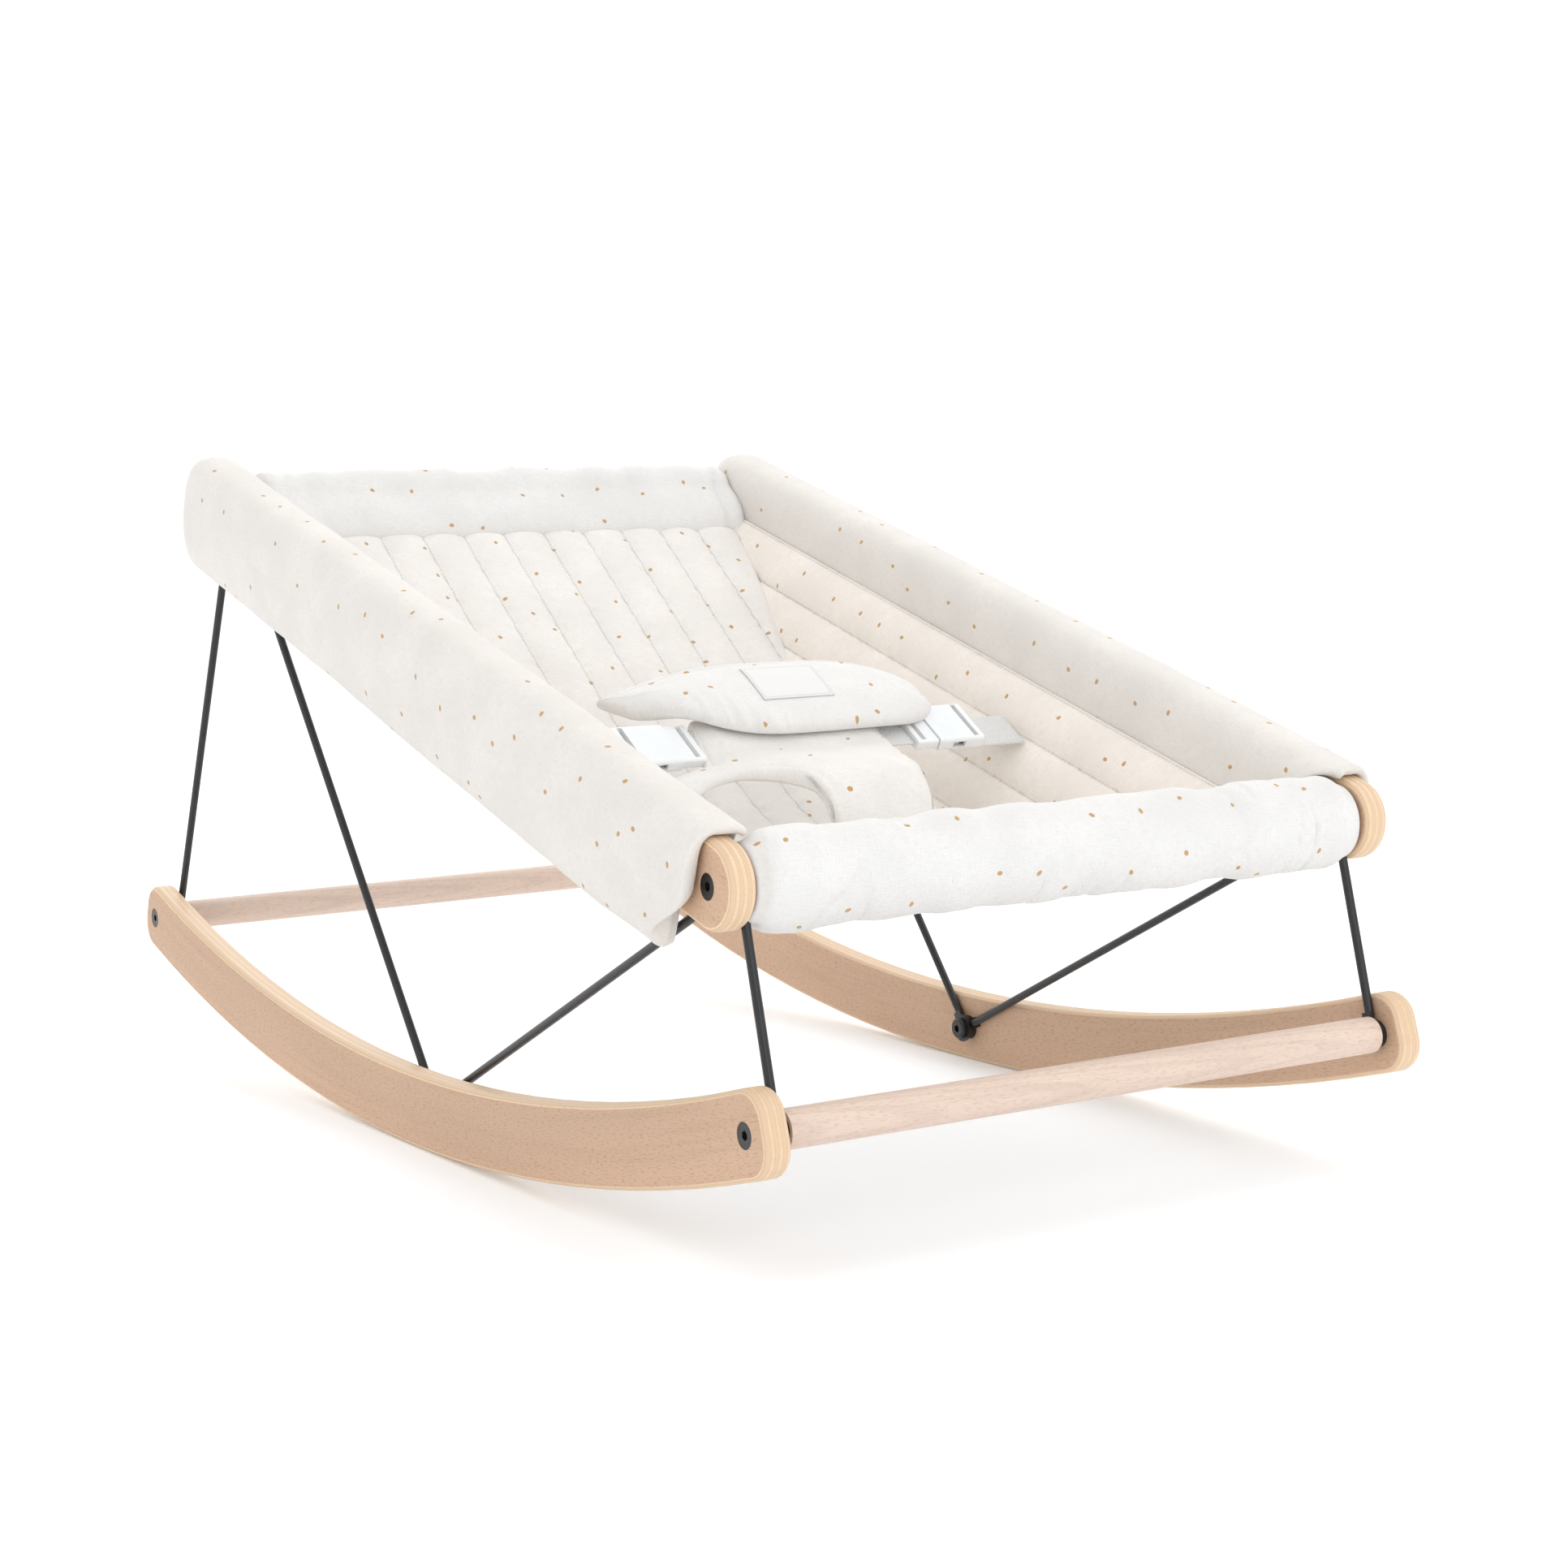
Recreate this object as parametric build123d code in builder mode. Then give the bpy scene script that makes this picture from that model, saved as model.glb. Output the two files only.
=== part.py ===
"""Rocking bouncer seat for a baby.

Two curved plywood rockers are joined by two round dowels. On each side four
steel rods make a W between the rocker and a straight seat rail. Padded sleeves
cover the rails and the two seat dowels, and a quilted sling with a waist
harness hangs between them.

Millimetres. +X points to the right side, +Y to the head end, +Z up. The origin
is on the floor, under the middle of the rockers.
"""
from build123d import *
import os
from math import atan2, cos, hypot, radians, sin, sqrt, tan

os.makedirs("parts", exist_ok=True)

# ---------------------------------------------------------------- driving sizes
frame_width = 380.0        # over the outer faces of the plywood
bolt_span = 720.0          # front to rear rocker bolt, along Y
ply = 14.0                 # thickness of rockers and rails
band_height = 40.0         # height of rockers and rails
rocker_radius = 1280.0     # underside of the rockers
contact_y = -18.0          # where the rockers touch the floor
end_reach = 16.0           # rocker end beyond its bolt
end_corner = 15.0          # corner radius of a rocker end
edge_round = 3.5           # rounding of the plywood edges

seat_front_setback = 26.0  # front seat bolt behind the front rocker bolt
seat_rear_setback = 124.0  # rear seat bolt ahead of the rear rocker bolt
seat_front_z = 171.3
seat_rear_z = 343.2

rod_diameter = 4.5
rod_gap = 0.2              # rod to plywood
eye_diameter = 14.0
eye_thickness = 2.4
neck_length = 11.0
neck_width = 6.0
rod_start = 9.0            # from the eye's centre
dowel_diameter = 18.0

bolt_diameter = 6.0
bolt_clearance = 0.2       # on the diameter
head_diameter = 12.0
head_height = 3.6
head_sink = 0.3            # head below the plywood face
socket_width = 4.0
socket_depth = 2.2
insert_diameter = 9.0
insert_length = 15.0
centre_insert_length = 10.0
washer_diameter = 16.0
washer_thickness = 1.2
button_height = 3.4

soft_gap = 0.3             # between soft pieces and what they touch
sleeve_width = 37.5
sleeve_top = 26.0          # above the rail's centre line
sleeve_drop = 47.0         # below the rail's centre line
sleeve_outside = 10.0      # padding outside the rail
sleeve_rear_reach = 32.0   # beyond the rear seat bolt
sleeve_front_setback = 8.0  # behind the front seat bolt
bar_sleeve_diameter = 42.0
rear_tail_reach = 42.0     # from the rear dowel's axis to the back panel

panel = 8.0                # thickness of the quilted panels
panel_lean = 30.0          # side panels, from vertical
seam_drop = 18.0           # side seam below the rail's centre line
fold_y = -30.0             # where back and seat lines would meet
fold_z = 130.0
fold_radius = 170.0

harness_y = -114.0         # middle of the waist belt
belt_z = 210.1             # middle of the waist belt's thickness
webbing_width = 25.0
webbing = 1.6
crotch = 6.0               # thickness of the crotch piece
crotch_base_y = -194.0
crotch_top_y = -184.0       # where the stem turns level
crotch_top_z = 189.0
crotch_beside = 6.0        # beyond the belt's edges
stem_width = 60.0
wing_width = 120.0
wing_front_y = -160.0      # front edge of the wings
leg_radius = 24.0          # curve from stem to wing
pad_length = 190.0
pad_depth = 70.0
pad_thickness = 15.0
pad_below = 28.0           # front edge below the belt's middle, along the slope
harness_tilt = 33.0        # belt, buckles and pad, from level
label_length = 44.0
label_depth = 29.0
label_thickness = 0.8
label_up = 6.0             # label's middle above the pad's middle

buckle_gap_x = 80.0        # mouth of the housing, from the middle plane
housing_length = 29.0
housing_width = 32.0
housing_height = 8.0
cavity_width = 28.0
cavity_height = 4.6
cavity_depth = 21.0
window_length = 8.0
bar_slot = 3.0
bar_wall = 3.0
buckle_clearance = 0.4
plug_length = 13.5
plug_height = 6.0
tongue_length = 18.0
tongue_width = 5.0
arm_length = 16.5
arm_width = 2.6
arm_offset = 10.9          # arm's middle from the buckle's axis
arm_thickness = 3.6
latch_length = 5.0
latch_bulge = 0.9

# ---------------------------------------------------------------- worked-out places
outer_x = -frame_width / 2
inner_x = outer_x + ply
rod_x = inner_x + rod_gap + rod_diameter / 2
stack = 2 * eye_thickness
dowel_end_x = inner_x + stack
alongside = rocker_radius - band_height / 2


def arc_z(y, radius):
    """Height at y of a circle of this radius about the rockers' centre."""
    return rocker_radius - sqrt(radius**2 - (y - contact_y) ** 2)


front_y = -bolt_span / 2
rear_y = bolt_span / 2
rocker_front = (front_y, arc_z(front_y, alongside))
rocker_rear = (rear_y, arc_z(rear_y, alongside))
rocker_middle = (contact_y, arc_z(contact_y, alongside))
seat_front = (front_y + seat_front_setback, seat_front_z)
seat_rear = (rear_y - seat_rear_setback, seat_rear_z)
rail_length = hypot(seat_rear[0] - seat_front[0], seat_rear[1] - seat_front[1])
rail_angle = atan2(seat_rear[1] - seat_front[1], seat_rear[0] - seat_front[0])


def outer_plane(point):
    """Plane on the left outer face at a (y, z) point, facing inwards."""
    return Plane(origin=(outer_x, point[0], point[1]), x_dir=(0, 1, 0), z_dir=(1, 0, 0))


def seam_z(y):
    """Height of the side seam's top line at y."""
    rail_z = seat_front[1] + (y - seat_front[0]) * tan(rail_angle)
    return rail_z - seam_drop / cos(rail_angle)


def save(piece, name):
    """Label the piece and write it to its own file."""
    piece.part.label = name
    export_step(piece.part, "parts/" + name + ".step")


def save_pair(piece, name):
    """Write a left piece and its mirror image on the right."""
    save(piece, name + "_left")
    with BuildPart() as other:
        mirror(piece.part, about=Plane.YZ)
    save(other, name + "_right")


# ---------------------------------------------------------------- plywood frame
lower_radius = rocker_radius
upper_radius = rocker_radius - band_height


def end_point(bolt, radius, direction):
    """Corner of a rocker end: past the bolt, along the band."""
    angle = atan2(bolt[0] - contact_y, rocker_radius - bolt[1])
    angle += direction * end_reach / alongside
    return (contact_y + radius * sin(angle), rocker_radius - radius * cos(angle))


with BuildPart() as rocker:
    with BuildSketch(Plane.YZ.offset(outer_x)) as rocker_face:
        with BuildLine():
            low_front = end_point(rocker_front, lower_radius, -1)
            low_rear = end_point(rocker_rear, lower_radius, 1)
            top_front = end_point(rocker_front, upper_radius, -1)
            top_rear = end_point(rocker_rear, upper_radius, 1)
            ThreePointArc(low_front, (contact_y, arc_z(contact_y, lower_radius)), low_rear)
            Line(low_rear, top_rear)
            ThreePointArc(top_rear, (contact_y, arc_z(contact_y, upper_radius)), top_front)
            Line(top_front, low_front)
        make_face()
        fillet(rocker_face.vertices(), radius=end_corner)
    extrude(amount=ply)
    faces_x = rocker.faces().filter_by(Axis.X)
    fillet(faces_x.edges(), radius=edge_round)
    for point in (rocker_front, rocker_rear):
        with Locations(outer_plane(point).location * Location((0, 0, 0), (180, 0, 0))):
            CounterBoreHole(
                radius=(bolt_diameter + bolt_clearance) / 2,
                counter_bore_radius=(head_diameter + bolt_clearance) / 2,
                counter_bore_depth=head_height + head_sink,
                depth=ply,
            )
    with BuildSketch(Plane(origin=(inner_x, *rocker_middle), z_dir=(-1, 0, 0))):
        Circle(insert_diameter / 2)
    extrude(amount=centre_insert_length, mode=Mode.SUBTRACT)
save_pair(rocker, "rocker")

rail_plane = Plane(
    origin=(outer_x, *seat_front),
    x_dir=(0, cos(rail_angle), sin(rail_angle)),
    z_dir=(1, 0, 0),
)
with BuildPart() as seat_rail:
    with BuildSketch(rail_plane):
        with Locations((rail_length / 2, 0)):
            SlotCenterToCenter(rail_length, band_height)
    extrude(amount=ply)
    fillet(seat_rail.faces().filter_by(Axis.X).edges(), radius=edge_round)
    for point in (seat_front, seat_rear):
        with Locations(outer_plane(point).location * Location((0, 0, 0), (180, 0, 0))):
            CounterBoreHole(
                radius=(bolt_diameter + bolt_clearance) / 2,
                counter_bore_radius=(head_diameter + bolt_clearance) / 2,
                counter_bore_depth=head_height + head_sink,
                depth=ply,
            )
save_pair(seat_rail, "seat_rail")

dowel_places = {
    "rocker_dowel_front": rocker_front,
    "rocker_dowel_rear": rocker_rear,
    "seat_dowel_front": seat_front,
    "seat_dowel_rear": seat_rear,
}
for name, point in dowel_places.items():
    with BuildPart() as dowel:
        with BuildSketch(Plane(origin=(dowel_end_x, *point), z_dir=(1, 0, 0))):
            Circle(dowel_diameter / 2)
        extrude(amount=-2 * dowel_end_x)
        for side in (1, -1):
            with BuildSketch(Plane(origin=(side * dowel_end_x, *point), z_dir=(side, 0, 0))):
                Circle(insert_diameter / 2)
            extrude(amount=insert_length, mode=Mode.SUBTRACT)
    save(dowel, name)

# ---------------------------------------------------------------- steel rods
rod_runs = {
    "rod_rear": (rocker_rear, seat_rear, 0),
    "rod_mid_rear": (seat_rear, rocker_middle, 1),
    "rod_mid_front": (rocker_middle, seat_front, 0),
    "rod_front": (seat_front, rocker_front, 1),
}
for name, (start, end, layer) in rod_runs.items():
    angle = atan2(end[1] - start[1], end[0] - start[0])
    length = hypot(end[0] - start[0], end[1] - start[1])
    along = (0, cos(angle), sin(angle))
    eye_plane = Plane(
        origin=(inner_x + layer * eye_thickness, *start), x_dir=along, z_dir=(1, 0, 0)
    )
    rod_plane = Plane(
        origin=(rod_x, start[0] + rod_start * cos(angle), start[1] + rod_start * sin(angle)),
        z_dir=along,
    )
    with BuildPart() as rod:
        with BuildSketch(rod_plane):
            Circle(rod_diameter / 2)
        extrude(amount=length - 2 * rod_start)
        with BuildSketch(eye_plane):
            for centre, side in ((0, 1), (length, -1)):
                with Locations((centre, 0)):
                    Circle(eye_diameter / 2)
                with Locations((centre + side * neck_length / 2, 0)):
                    Rectangle(neck_length, neck_width)
            with Locations((0, 0), (length, 0)):
                Circle((bolt_diameter + bolt_clearance) / 2, mode=Mode.SUBTRACT)
        extrude(amount=eye_thickness)
    save_pair(rod, name)

# ---------------------------------------------------------------- bolts and inserts


def flat_bolts(points):
    """Left bolts with flush hex-socket heads, screwed into the dowels' inserts."""
    start = outer_x + head_sink
    shank = ply - head_sink + stack + insert_length - 3.0
    with BuildPart() as bolts:
        for point in points:
            with BuildSketch(Plane(origin=(start, *point), z_dir=(1, 0, 0))):
                Circle(head_diameter / 2)
            extrude(amount=head_height)
            with BuildSketch(Plane(origin=(start, *point), z_dir=(1, 0, 0))):
                Circle(bolt_diameter / 2)
            extrude(amount=shank)
            with BuildSketch(Plane(origin=(start, *point), z_dir=(1, 0, 0))):
                RegularPolygon(socket_width / 2, 6, major_radius=False)
            extrude(amount=socket_depth, mode=Mode.SUBTRACT)
        mirror(about=Plane.YZ)
    return bolts


def rings(points, start, length, outer, bore):
    """Rings or sleeves about the bolt axes on both sides, from start inwards."""
    with BuildPart() as group:
        for point in points:
            with BuildSketch(Plane(origin=(start, *point), z_dir=(1, 0, 0))):
                Circle(outer / 2)
                Circle(bore / 2, mode=Mode.SUBTRACT)
            extrude(amount=length)
        mirror(about=Plane.YZ)
    return group


bore = bolt_diameter + bolt_clearance
rocker_points = (rocker_front, rocker_rear)
seat_points = (seat_front, seat_rear)
save(flat_bolts(rocker_points), "rocker_bolts")
save(flat_bolts(seat_points), "rail_bolts")
save(
    rings(rocker_points + seat_points, dowel_end_x, insert_length, insert_diameter, bolt_diameter),
    "dowel_inserts",
)
save(
    rings((rocker_middle,), inner_x, -centre_insert_length, insert_diameter, bolt_diameter),
    "centre_inserts",
)
save(
    rings((rocker_middle,), inner_x + stack, washer_thickness, washer_diameter, bore),
    "centre_washers",
)

with BuildPart() as eye_spacers:
    for point, layer in ((rocker_front, 0), (rocker_rear, 1)):
        spacer_x = inner_x + layer * eye_thickness
        with BuildSketch(Plane(origin=(spacer_x, *point), z_dir=(1, 0, 0))):
            Circle(eye_diameter / 2)
            Circle(bore / 2, mode=Mode.SUBTRACT)
        extrude(amount=eye_thickness)
    mirror(about=Plane.YZ)
save(eye_spacers, "eye_spacers")

button_x = inner_x + stack + washer_thickness
with BuildPart() as centre_bolts:
    with BuildSketch(Plane(origin=(button_x, *rocker_middle), z_dir=(1, 0, 0))):
        Circle(head_diameter / 2)
    extrude(amount=button_height)
    fillet(centre_bolts.faces().sort_by(Axis.X)[-1].edges(), radius=1.4)
    with BuildSketch(Plane(origin=(button_x + button_height, *rocker_middle), z_dir=(-1, 0, 0))):
        RegularPolygon(socket_width / 2, 6, major_radius=False)
    extrude(amount=socket_depth, mode=Mode.SUBTRACT)
    with BuildSketch(Plane(origin=(button_x, *rocker_middle), z_dir=(-1, 0, 0))):
        Circle(bolt_diameter / 2)
    extrude(amount=button_x - inner_x + centre_insert_length - 1.0)
    mirror(about=Plane.YZ)
save(centre_bolts, "centre_bolts")

# ---------------------------------------------------------------- padded sleeves
sleeve_x = outer_x - sleeve_outside
sleeve_inner_x = sleeve_x + sleeve_width
cavity_left = outer_x - soft_gap
cavity_right = dowel_end_x + soft_gap
slot_left = inner_x - soft_gap
sleeve_length = rail_length + sleeve_rear_reach - sleeve_front_setback
cavity_length = rail_length + band_height / 2 + soft_gap - sleeve_front_setback
half_cavity = band_height / 2 + soft_gap
dowel_hole = dowel_diameter + 2 * soft_gap


def rail_point(distance):
    """A (y, z) point on the rail's centre line, from the front bolt."""
    return (
        seat_front[0] + distance * cos(rail_angle),
        seat_front[1] + distance * sin(rail_angle),
    )


def rail_section(distance):
    """Plane across the rail, its y axis up, its normal towards the head end."""
    return Plane(
        origin=(0, *rail_point(distance)),
        x_dir=(-1, 0, 0),
        z_dir=(0, cos(rail_angle), sin(rail_angle)),
    )


with BuildPart() as side_sleeve:
    with BuildSketch(rail_section(sleeve_front_setback)):
        with Locations((-(sleeve_x + sleeve_width / 2), (sleeve_top - sleeve_drop) / 2)):
            SlotOverall(sleeve_top + sleeve_drop, sleeve_width, rotation=90)
    extrude(amount=sleeve_length)
    rear_edges = side_sleeve.faces().sort_by(Axis.Y)[-1].edges()
    fillet(rear_edges, radius=sleeve_rear_reach - band_height / 2 - 3.0)
    with BuildSketch(rail_section(sleeve_front_setback)) as cavity:
        with Locations((-(cavity_left + cavity_right) / 2, 0)):
            Rectangle(cavity_right - cavity_left, 2 * half_cavity)
        fillet(cavity.vertices(), radius=edge_round - soft_gap)
        with Locations((-(slot_left + cavity_right) / 2, -(half_cavity + sleeve_drop) / 2)):
            Rectangle(cavity_right - slot_left, sleeve_drop)
    extrude(amount=cavity_length, mode=Mode.SUBTRACT)
    with BuildSketch(Plane(origin=(cavity_right, *seat_rear), z_dir=(1, 0, 0))):
        Circle(dowel_hole / 2)
    extrude(amount=sleeve_width, mode=Mode.SUBTRACT)
    with BuildSketch(Plane(origin=(cavity_right, *seat_front), z_dir=(1, 0, 0))):
        Circle(bar_sleeve_diameter / 2 + soft_gap)
    extrude(amount=sleeve_width, mode=Mode.SUBTRACT)
save_pair(side_sleeve, "side_sleeve")

bar_half = -sleeve_inner_x - soft_gap
front_half = -dowel_end_x - 2.0
fold = (fold_y, fold_z)


def toward(start, end, distance):
    """A (y, z) point this far from start on the way to end."""
    share = distance / hypot(end[0] - start[0], end[1] - start[1])
    return (start[0] + share * (end[0] - start[0]), start[1] + share * (end[1] - start[1]))


with BuildPart() as front_sleeve:
    with BuildSketch(Plane(origin=(-front_half, *seat_front), z_dir=(1, 0, 0))):
        Circle(bar_sleeve_diameter / 2)
        Circle(dowel_hole / 2, mode=Mode.SUBTRACT)
    extrude(amount=2 * front_half)
save(front_sleeve, "front_sleeve")

tail_tip = toward(seat_rear, fold, rear_tail_reach - panel / 2)
with BuildPart() as rear_sleeve:
    with BuildSketch(Plane.YZ.offset(-bar_half)):
        with Locations(seat_rear):
            Circle(bar_sleeve_diameter / 2)
        with Locations(tail_tip):
            Circle(panel / 2)
        make_hull()
        with Locations(seat_rear):
            Circle(dowel_hole / 2, mode=Mode.SUBTRACT)
    extrude(amount=2 * bar_half)
save(rear_sleeve, "rear_sleeve")

# ---------------------------------------------------------------- quilted sling
back_start = toward(seat_rear, fold, rear_tail_reach + soft_gap)
seat_end = toward(seat_front, fold, bar_sleeve_diameter / 2 + soft_gap)
lean = radians(panel_lean)
seam_point = (sleeve_inner_x + 2 * soft_gap, seat_front[0], seam_z(seat_front[0]))
lean_normal = Vector(
    -cos(rail_angle) * cos(lean), sin(rail_angle) * sin(lean), -cos(rail_angle) * sin(lean)
)
lean_plane = Plane(
    origin=seam_point, x_dir=(0, cos(rail_angle), sin(rail_angle)), z_dir=lean_normal
)
panel_reach = 2 * bolt_span

with BuildPart() as back_panel:
    with BuildSketch(Plane.YZ.offset(-bar_half)):
        with BuildLine() as seat_line:
            FilletPolyline(back_start, fold, seat_end, radius=fold_radius)
        trace(line_width=panel)
    extrude(amount=bar_half)
    with BuildSketch(lean_plane.offset(-panel - soft_gap)):
        Rectangle(panel_reach, panel_reach)
    extrude(amount=bar_half, mode=Mode.SUBTRACT)
    mirror(about=Plane.YZ)
save(back_panel, "back_panel")

with BuildPart() as side_panel:
    with BuildSketch(Plane.YZ.offset(-bar_half)):
        with BuildLine():
            outline = FilletPolyline(back_start, fold, seat_end, radius=fold_radius)
            Line(outline @ 1, outline @ 0)
        make_face()
        with BuildLine():
            high = 2 * seat_rear_z
            Polyline(
                (front_y, seam_z(front_y)),
                (rear_y, seam_z(rear_y)),
                (rear_y, -high),
                (front_y, -high),
                close=True,
            )
        make_face(mode=Mode.INTERSECT)
    extrude(amount=bar_half)
    with BuildSketch(lean_plane):
        Rectangle(panel_reach, panel_reach)
    extrude(amount=-panel, mode=Mode.INTERSECT)
save_pair(side_panel, "side_panel")

# ---------------------------------------------------------------- harness


def seat_top_z(y):
    """Height at y of the seat panel's top face, ahead of the fold."""
    slope = (seat_end[1] - fold_z) / (seat_end[0] - fold_y)
    return fold_z + (y - fold_y) * slope + panel / 2 * sqrt(1 + slope**2)


tilt = radians(harness_tilt)
belt_axis = Axis((0, harness_y, belt_z), (1, 0, 0))


def harness_point(along, out):
    """(y, z) from the belt's middle: up its slope, and out of its upper face."""
    return (
        harness_y + along * cos(tilt) - out * sin(tilt),
        belt_z + along * sin(tilt) + out * cos(tilt),
    )


wing_out = -(webbing / 2 + soft_gap + crotch / 2)
wing_reach = webbing_width / 2 + crotch_beside
crotch_base = (crotch_base_y, seat_top_z(crotch_base_y))
with BuildPart() as crotch_piece:
    with BuildSketch(Plane.YZ.offset(-wing_width / 2)):
        with BuildLine():
            FilletPolyline(
                crotch_base,
                (crotch_top_y, crotch_top_z),
                harness_point(-wing_reach, wing_out),
                harness_point(wing_reach, wing_out),
                radius=14,
            )
        trace(line_width=crotch)
    extrude(amount=wing_width)
    with BuildSketch() as leg_cuts:
        for side in (-1, 1):
            with BuildLine():
                inside = side * stem_width / 2
                beyond = side * wing_width
                Polyline(
                    (inside, crotch_base_y - crotch),
                    (inside, wing_front_y),
                    (beyond, wing_front_y),
                    (beyond, crotch_base_y - crotch),
                    close=True,
                )
            make_face()
        inner_corners = leg_cuts.vertices().group_by(Axis.Y)[-1].sort_by(Axis.X)[1:3]
        fillet(inner_corners, radius=leg_radius)
    extrude(amount=seat_rear_z, mode=Mode.SUBTRACT)
    with BuildSketch(Plane.YZ.offset(-wing_width)):
        with BuildLine():
            Polyline(
                (crotch_base_y - 4 * crotch, seat_top_z(crotch_base_y - 4 * crotch) + soft_gap),
                (wing_front_y, seat_top_z(wing_front_y) + soft_gap),
                (wing_front_y, 0),
                (crotch_base_y - 4 * crotch, 0),
                close=True,
            )
        make_face()
    extrude(amount=2 * wing_width, mode=Mode.SUBTRACT)
save(crotch_piece, "crotch_piece")

plug_x = -buckle_gap_x + buckle_clearance
plug_back_x = plug_x + plug_length
belt_half = -plug_back_x - soft_gap
belt_plane = Plane(
    origin=(0, harness_y, belt_z), x_dir=(1, 0, 0), z_dir=(0, -sin(tilt), cos(tilt))
)
with BuildPart() as waist_belt:
    with Locations(belt_plane):
        Box(2 * belt_half, webbing_width, webbing)
save(waist_belt, "waist_belt")

pad_plane = Plane(
    origin=(0, *harness_point(-pad_below, housing_height / 2 + soft_gap)),
    x_dir=(1, 0, 0),
    z_dir=(0, -sin(tilt), cos(tilt)),
)
with BuildPart() as waist_pad:
    with BuildSketch(pad_plane):
        with Locations((0, pad_depth / 2)):
            RectangleRounded(pad_length, pad_depth, pad_depth / 2.2)
    extrude(amount=pad_thickness)
save(waist_pad, "waist_pad")

with BuildPart() as label_patch:
    with BuildSketch(pad_plane.offset(pad_thickness)):
        with Locations((0, pad_depth / 2 + label_up)):
            RectangleRounded(label_length, label_depth, 1.5)
    extrude(amount=label_thickness)
save(label_patch, "label_patch")


def panel_inner_x(y, z):
    """Where the left side panel's inner face is, at this y and z."""
    offset = lean_normal.Y * (y - seam_point[1]) + lean_normal.Z * (z - seam_point[2])
    return seam_point[0] - (panel * lean_normal.length + offset) / lean_normal.X


strap_out = -(housing_height / 2 + buckle_clearance + webbing / 2)
strap_corners = [
    harness_point(along, strap_out + out)
    for along in (-webbing_width / 2, webbing_width / 2)
    for out in (-webbing / 2, webbing / 2)
]
strap_end_x = max(panel_inner_x(*corner) for corner in strap_corners) + soft_gap
strap_inner_x = -buckle_gap_x - housing_length / 3
strap_middle = Vector((strap_end_x + strap_inner_x) / 2, 0, strap_out)
with BuildPart() as waist_strap:
    with Locations(belt_plane.location * Location(strap_middle)):
        Box(strap_inner_x - strap_end_x, webbing_width, webbing)
save_pair(waist_strap, "waist_strap")


def save_tilted(piece, name):
    """Turn a level buckle part about the belt's axis and write the pair."""
    with BuildPart() as turned:
        add(piece.part.rotate(belt_axis, harness_tilt))
    save_pair(turned, name)


# ---------------------------------------------------------------- buckles
mouth = Plane(origin=(-buckle_gap_x, harness_y, belt_z), x_dir=(0, 1, 0), z_dir=(-1, 0, 0))
with BuildPart() as buckle_housing:
    with BuildSketch(mouth) as housing_face:
        Rectangle(housing_width, housing_height)
        fillet(housing_face.vertices(), radius=2.2)
    extrude(amount=housing_length)
    with BuildSketch(mouth):
        Rectangle(cavity_width, cavity_height)
    extrude(amount=cavity_depth, mode=Mode.SUBTRACT)
    with Locations((-buckle_gap_x - cavity_depth * 0.62, harness_y, belt_z)):
        Box(window_length, 2 * housing_width, arm_thickness, mode=Mode.SUBTRACT)
    with Locations(
        (-buckle_gap_x - housing_length + bar_wall + bar_slot / 2, harness_y, belt_z)
    ):
        Box(bar_slot, cavity_width, 2 * housing_height, mode=Mode.SUBTRACT)
save_tilted(buckle_housing, "buckle_housing")

with BuildPart() as buckle_plug:
    with BuildSketch(mouth.offset(-buckle_clearance)) as plug_face:
        Rectangle(housing_width - 2.0, plug_height)
        fillet(plug_face.vertices(), radius=1.6)
    extrude(amount=-plug_length)
    with BuildSketch(mouth.offset(-buckle_clearance)):
        Rectangle(tongue_width, arm_thickness)
    extrude(amount=tongue_length)
    with Locations((plug_back_x - bar_wall - bar_slot / 2, harness_y, belt_z)):
        Box(bar_slot, cavity_width - 2.0, 2 * plug_height, mode=Mode.SUBTRACT)
save_tilted(buckle_plug, "buckle_plug")

arm_root_x = plug_x - buckle_clearance
for side, name in ((-1, "latch_arm_front"), (1, "latch_arm_rear")):
    with BuildPart() as latch_arm:
        with BuildSketch(Plane.XY.offset(belt_z - arm_thickness / 2)):
            with Locations((arm_root_x - arm_length / 2, harness_y + side * arm_offset)):
                RectangleRounded(arm_length, arm_width, 1.0)
            with Locations(
                (
                    arm_root_x - arm_length + latch_length / 2 + 1.0,
                    harness_y + side * (arm_offset + latch_bulge / 2),
                )
            ):
                RectangleRounded(latch_length, arm_width + latch_bulge, 1.2)
        extrude(amount=arm_thickness)
    save_tilted(latch_arm, name)
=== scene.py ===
"""Cloth, padding, finishes, studio and camera for the rocking bouncer seat.

Everything is in metres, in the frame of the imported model: +X to the right
side, +Y to the head end, +Z up, origin on the floor under the rockers.
"""
from math import atan2, cos, hypot, pi, radians, sin, tan

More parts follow.
